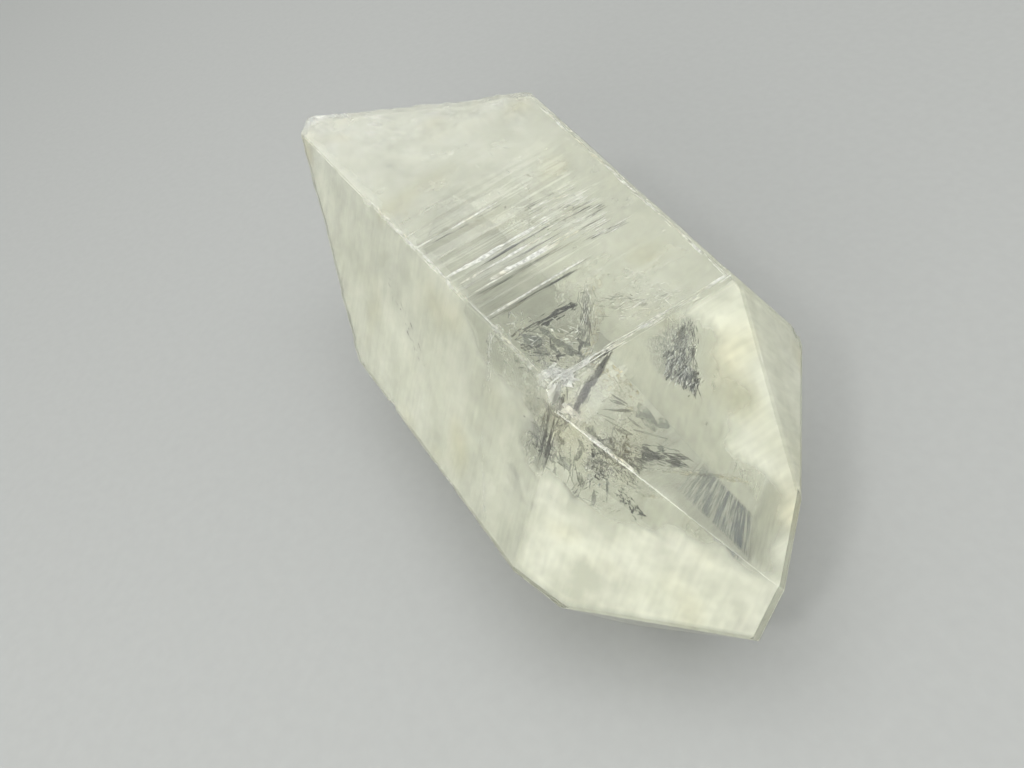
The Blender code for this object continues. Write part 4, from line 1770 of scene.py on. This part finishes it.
# Sheets of painted dark reflection: near-black patchy film on thin cracks, where cracks mirror dark
PAINTED_DARK_REFLECTIONS = tuple(CrackFan(*row) for row in (
    # dark needles of the feather under the top face
    ((27.8, 1.0, 50.4), (35.0, -3.6, 50.6), (-0.8, 0.6, -2.0), 26, (1.2, 5.0), (0.15, 0.5), 0.5, 0.14, 31),
    ((35.0, -3.8, 50.6), (40.0, -8.4, 50.8), (-0.6, 0.4, -1.6), 22, (0.8, 3.6), (0.15, 0.5), 0.6, 0.3, 32),
    ((29.0, 0.0, 51.2), (36.5, 6.5, 51.0), (-0.6, 0.4, -1.6), 16, (0.8, 3.6), (0.15, 0.4), 0.8, 0.4, 33),
    # dark line and crushed ground behind the front corner of the top face
    ((28.4, -12.3, 51.8), (28.6, -2.0, 51.8), (1.2, 0.2, -1.4), 40, (0.8, 3.6), (0.2, 0.7), 0.45, 0.16, 34),
    ((31.5, -13.6, 51.2), (36.0, -10.0, 50.8), (-1.4, 1.2, -2.2), 44, (0.5, 2.4), (0.2, 0.8), 0.9, 0.6, 35),
    # two dark bands that run down from the shoulder
    ((42.6, -4.6, 51.8), (45.3, -11.4, 49.6), (-0.9, -0.8, -1.2), 44, (2.5, 7.5), (0.5, 1.5), 0.25, 0.06, 36),
    ((42.8, -13.6, 51.2), (43.9, -18.4, 42.0), (-0.8, 0.8, -0.6), 34, (2.5, 8.0), (0.3, 1.0), 0.45, 0.08, 37),
    # mottled dark ground under the second face and below the ridge
    ((39.3, -16.7, 45.4), (44.6, -17.8, 43.8), (-1.0, 0.6, -2.6), 160, (0.4, 1.6), (0.15, 0.5), 0.9, 0.7, 38),
    ((49.6, -12.6, 45.4), (51.8, -13.0, 41.0), (-0.8, 0.2, -0.8), 150, (0.4, 1.5), (0.15, 0.45),
     0.75, 0.6, 39),
    ((50.8, -10.2, 44.4), (54.4, -10.6, 41.0), (-0.8, 0.4, -0.8), 150, (0.4, 1.5), (0.15, 0.45),
     0.95, 0.6, 40),
    # dark wedge under the first tip face
    ((53.4, -8.2, 42.4), (57.0, -3.6, 39.4), (-1.3, 0.3, -0.5), 70, (1.0, 3.6), (0.2, 0.7), 0.45, 0.18, 41),
    # ripples of the textured veil
    ((42.8, 9.6, 50.0), (51.2, 3.6, 43.8), (-0.5, 0.1, -0.4), 60, (0.8, 2.6), (0.2, 0.5), 0.25, 0.2, 42),
    ((46.2, 1.0, 46.7), (45.1, 3.6, 47.6), (4.0, 2.3, -3.2), 90, (0.5, 1.9), (0.12, 0.35), 0.35, 0.2, 43),
    ((44.8, 2.6, 47.8), (43.6, 5.8, 49.0), (2.4, 1.8, -2.0), 60, (0.5, 1.8), (0.12, 0.35), 0.35, 0.2, 48),
    ((43.7, 5.4, 48.9), (42.7, 8.2, 49.8), (1.0, 0.7, -0.9), 30, (0.5, 1.6), (0.12, 0.3), 0.25, 0.2, 50),
    # broken steps of the top face, far half, and short strokes in the second face
    ((19.0, 5.4, 52.0), (19.4, 15.0, 52.0), (-19.0, 0.0, -0.6), 44, (1.5, 5.0), (0.1, 0.25), 0.2, 0.04, 47),
    ((-14.0, -19.6, 43.6), (6.0, -23.0, 37.2), (0.2, -1.2, -2.4), 30, (0.8, 2.8), (0.1, 0.25),
     0.25, 0.25, 49),
    # small dark mark in the rear of the top face
    ((-36.4, -7.2, 51.3), (-35.4, -6.0, 51.3), (-0.4, 0.2, -0.4), 12, (0.4, 1.2), (0.2, 0.5), 0.3, 0.6, 72),
    # thin shadows beside the straight lines of the top face
    straight(-3.9, 1.5, 51.8, 0.3, 8, (0.08, 0.2), 73),
    straight(8.9, 3.5, 52.0, 0.4, 12, (0.08, 0.2), 74),
    straight(12.2, 3.5, 52.1, 0.3, 10, (0.08, 0.2), 75),
    straight(15.6, 3.5, 52.1, 0.5, 14, (0.08, 0.2), 76),
    straight(22.8, 3.5, 52.3, 0.4, 12, (0.08, 0.2), 77),
    # dark arc and short strokes inside the second tip face
    ((53.8, -13.0, 38.8), (57.0, -12.0, 35.6), (-0.6, 0.6, -0.8), 60, (0.4, 1.6), (0.2, 0.6), 0.45, 0.5, 44),
    ((47.9, -21.0, 34.9), (51.4, -14.7, 40.6), (-0.5, 0.4, -0.5), 14, (0.8, 2.0), (0.15, 0.4), 0.9, 0.4, 45),
    # soft smudge low under the second face
    ((37.0, -21.4, 35.0), (41.0, -22.0, 31.0), (-1.0, 1.0, -0.6), 40, (0.8, 2.6), (0.3, 0.9), 0.8, 0.25, 46),
))

# Grey sheets of painted shade that dim the clear window and the ground round the dark mottling
PAINTED_SHADE_FANS = tuple(CrackFan(*row) for row in (
    # dim ground of the clear window in the top face, and of its feather
    ((30.0, -12.0, 50.0), (41.0, -9.0, 50.2), (-1.0, 3.5, -1.5), 24, (2.0, 6.0), (0.6, 1.8), 1.6, 0.25, 71),
    ((28.5, 0.0, 50.2), (38.0, -6.0, 50.2), (-0.5, 1.0, -2.0), 16, (2.0, 6.0), (0.6, 1.6), 1.2, 0.25, 72),
    ((33.0, 1.0, 50.5), (38.0, 8.0, 50.5), (-0.5, 1.0, -2.0), 16, (1.5, 4.0), (0.5, 1.4), 1.2, 0.3, 73),
    # round the dark mottling under the second face and below the ridge
    ((39.5, -16.0, 45.4), (44.5, -17.2, 42.5), (-1.0, 1.0, -2.0), 22, (1.5, 4.0), (0.6, 1.6), 1.2, 0.4, 74),
    ((49.0, -11.5, 43.5), (54.5, -10.2, 40.8), (-0.8, 0.6, -1.0), 22, (1.5, 4.0), (0.6, 1.6), 1.1, 0.4, 75),
    ((53.0, -8.0, 41.8), (56.4, -4.2, 39.4), (-1.0, 0.6, -0.6), 16, (1.5, 4.0), (0.6, 1.6), 0.7, 0.3, 76),
    # olive ground on both sides of the lower ridge
    ((46.0, -15.0, 43.0), (49.5, -19.0, 36.0), (-1.0, 1.0, -1.0), 26, (2.5, 6.0), (1.0, 2.6), 2.0, 0.4, 77),
    ((45.5, -9.0, 46.5), (50.0, -5.0, 44.0), (-1.0, 0.5, -1.5), 16, (2.5, 6.0), (1.0, 2.6), 1.8, 0.4, 78),
    ((37.0, -20.8, 35.0), (41.0, -21.6, 31.0), (-1.0, 1.0, -0.6), 20, (2.0, 5.0), (1.0, 2.5), 0.8, 0.25, 79),
))

# Patchy grey film: painted shade on the sheets above
PAINTED_SHADE_FILM = PaintedFilm("painted grey shade", "#6d7770", "#8f8b62",
                 Patches(2.0, 3.0, 0.38, 0.58, high=0.5, roughness=0.7))

# White film: crushed quartz, and painted highlights where the white stands for glints
CRUSHED_AND_HIGHLIGHT_FILM = PaintedFilm("white crushed quartz and painted highlights", "#ffffff", "#f3efdb",
                     Patches(1.0, 3.0, 0.38, 0.58, low=0.5, roughness=0.7))

# White cracks: partly crushed quartz, partly painted highlights for glints and bright lines
CRUSHED_AND_HIGHLIGHTS = tuple(CrackFan(*row) for row in (
    # crushed ground, and a painted highlight for the bright flash, at the front corner of the top face
    ((39.6, -13.4, 52.3), (42.6, -10.8, 52.3), (-0.5, 0.3, -0.8), 190, (0.8, 2.6), (0.4, 1.1), 0.45, 0.6, 51),
    ((45.2, -14.3, 50.2), (46.7, -13.2, 49.0), (-0.4, 0.3, -0.5), 36, (0.8, 2.0), (0.5, 1.2), 0.25, 0.3, 52),
    # painted highlights: bright strings under the second face
    ((28.2, -22.6, 37.0), (34.4, -29.5, 25.4), (-0.5, 0.6, -0.4), 80, (0.8, 2.8), (0.2, 0.6), 0.22, 0.2, 53),
    ((25.0, -14.9, 51.2), (27.6, -19.4, 43.4), (-0.5, 0.6, -0.4), 40, (0.6, 2.4), (0.2, 0.5), 0.4, 0.4, 54),
    # painted highlights: light needles between the dark ones of the feather, and beside it
    ((28.6, 0.6, 50.8), (35.4, -3.8, 51.0), (-0.8, 0.6, -1.8), 18, (1.5, 5.0), (0.12, 0.35), 0.5, 0.14, 55),
    ((31.0, -10.5, 51.0), (38.0, -6.0, 51.0), (-1.5, 1.2, -2.5), 50, (0.6, 2.6), (0.15, 0.5), 1.6, 0.5, 56),
    ((35.0, 2.0, 51.8), (40.0, 11.0, 51.8), (-1.0, 0.4, -2.0), 60, (0.5, 2.2), (0.15, 0.5), 1.6, 0.5, 57),
    # ripples of the textured veil
    ((46.3, 1.2, 46.8), (45.2, 3.8, 47.7), (4.0, 2.3, -3.2), 80, (0.5, 1.9), (0.1, 0.3), 0.35, 0.2, 58),
    ((44.9, 2.8, 47.9), (43.7, 6.0, 49.1), (2.4, 1.8, -2.0), 50, (0.5, 1.8), (0.1, 0.3), 0.35, 0.2, 65),
    ((19.0, 5.4, 52.1), (19.4, 15.0, 52.1), (-19.0, 0.0, -0.6), 80, (1.5, 5.0), (0.12, 0.4), 0.2, 0.04, 64),
    # painted highlights along the ridges and shoulders
    ((48.8, -13.4, 47.5), (54.8, -10.7, 42.9), (0.1, 0.1, -0.3), 70, (0.8, 2.6), (0.2, 0.5), 0.1, 0.1, 59),
    ((42.4, -12.6, 52.5), (42.4, 17.0, 52.5), (-0.9, 0.0, 0.1), 110, (1.5, 6.0), (0.1, 0.35), 0.14, 0.05, 60),
    ((42.6, -13.9, 52.35), (-30.0, -15.2, 51.35), (0.0, 0.2, -0.2), 150, (1.0, 5.0), (0.1, 0.35),
     0.12, 0.05, 61),
    ((41.0, 18.0, 52.5), (-30.0, 26.0, 51.4), (0.0, -0.2, -0.2), 120, (1.0, 5.0), (0.1, 0.35),
     0.12, 0.05, 62),
    # painted highlights: strong straight lines across the near half of the top face
    straight(-5.1, 1.5, 51.8, 0.3, 14, (0.2, 0.5), 66),
    straight(7.1, 3.5, 52.0, 0.9, 26, (0.2, 0.6), 67),
    straight(10.7, 3.5, 52.1, 0.3, 14, (0.2, 0.5), 68),
    straight(13.5, 3.5, 52.1, 1.2, 34, (0.2, 0.6), 69),
    straight(21.8, 3.5, 52.3, 0.3, 16, (0.2, 0.5), 70),
    # crushed spot at the far corner
    ((45.8, 22.6, 38.2), (47.0, 21.2, 38.0), (-1.0, -0.6, -1.2), 40, (0.4, 1.4), (0.3, 0.9), 0.6, 0.9, 63),
))

# Sheets of painted shade, near the tip and behind the first tip face
# corners, stripes, dashes, dense
SHADE_LAYERS = tuple(ShadeLayer(*row) for row in (
    (((56.3, -6.4, 36.3), (55.5, -0.7, 37.0), (64.0, 1.4, 30.3), (68.2, -2.8, 27.0)), 22.0, 1.0, 1.0),
    (((42.8, 0.9, 51.2), (46.7, 0.1, 48.1), (51.7, 3.2, 44.2), (42.8, 9.7, 51.2)), 26.0, 12.0, 0.55),
))

# middle, wide, tall, bend, seed
VEILS = tuple(Veil(*row) for row in (
    ((40.0, -8.0, 40.0), (8.5, 5.0, -3.0), (-3.0, 5.0, 7.0), 1.4, 5.0),
    ((24.0, 0.0, 36.0), (14.0, -7.0, 3.0), (2.0, 8.0, 9.0), 2.2, 9.0),
    ((-16.0, 2.0, 32.0), (14.0, 9.0, -6.0), (4.0, -10.0, 11.0), 2.6, 17.0),
    ((-36.0, -2.0, 26.0), (15.0, -10.0, 5.0), (4.0, 10.0, 13.0), 2.6, 37.0),
    ((52.0, -2.0, 30.0), (6.0, 8.0, -3.0), (2.0, -3.0, 6.0), 1.2, 23.0),
))


def inner_pieces(shape: QuartzPoint) -> list[tuple[bpy.types.Object, Finish]]:
    """Build everything that shows inside the crystal.

    Args:
        shape: The crystal.

    Returns:
        Each piece with its finish.
    """
    return [
        (Cracks("open_cracks", shape, FANS).build(), AirGap()),
        (Cracks("painted_dark_reflections", shape, PAINTED_DARK_REFLECTIONS).build(), PaintedFilm()),
        (Cracks("painted_shade_cracks", shape, PAINTED_SHADE_FANS).build(), PAINTED_SHADE_FILM),
        (Cracks("crushed_and_highlight_cracks", shape, CRUSHED_AND_HIGHLIGHTS).build(), CRUSHED_AND_HIGHLIGHT_FILM),
        (BubbleVeils(VEILS).build(), SealedBubbles()),
        (MilkyHaze(shape).build(), GrowthHaze()),
        (PaintedShadeLayers(SHADE_LAYERS).build(), PaintedShadeSheet()),
    ]


def main() -> None:
    """Build the crystal and the studio, in that order."""
    logging.basicConfig(level=logging.INFO, format="%(name)s: %(message)s")
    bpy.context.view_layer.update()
    shape = QuartzPoint(growth=GROWTH, ledges=LEDGES, chips=CHIPS, windows=WINDOWS)
    crystal = shape.build()
    crystal.data.materials.append(GrownQuartz().material())
    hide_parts(CRYSTAL_NODE)
    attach(crystal, BODY)
    mesh = crystal.data
    log.info("%s: %d points, %d faces", crystal.name, len(mesh.vertices), len(mesh.polygons))
    for inner, finish in inner_pieces(shape):
        inner.data.materials.append(finish.material())
        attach(inner, BODY)
        log.info("%s: %d faces", inner.name, len(inner.data.polygons))
    Studio().build()
    log.info("studio: floor, sky, lights and camera")


if __name__ == "__main__":
    main()
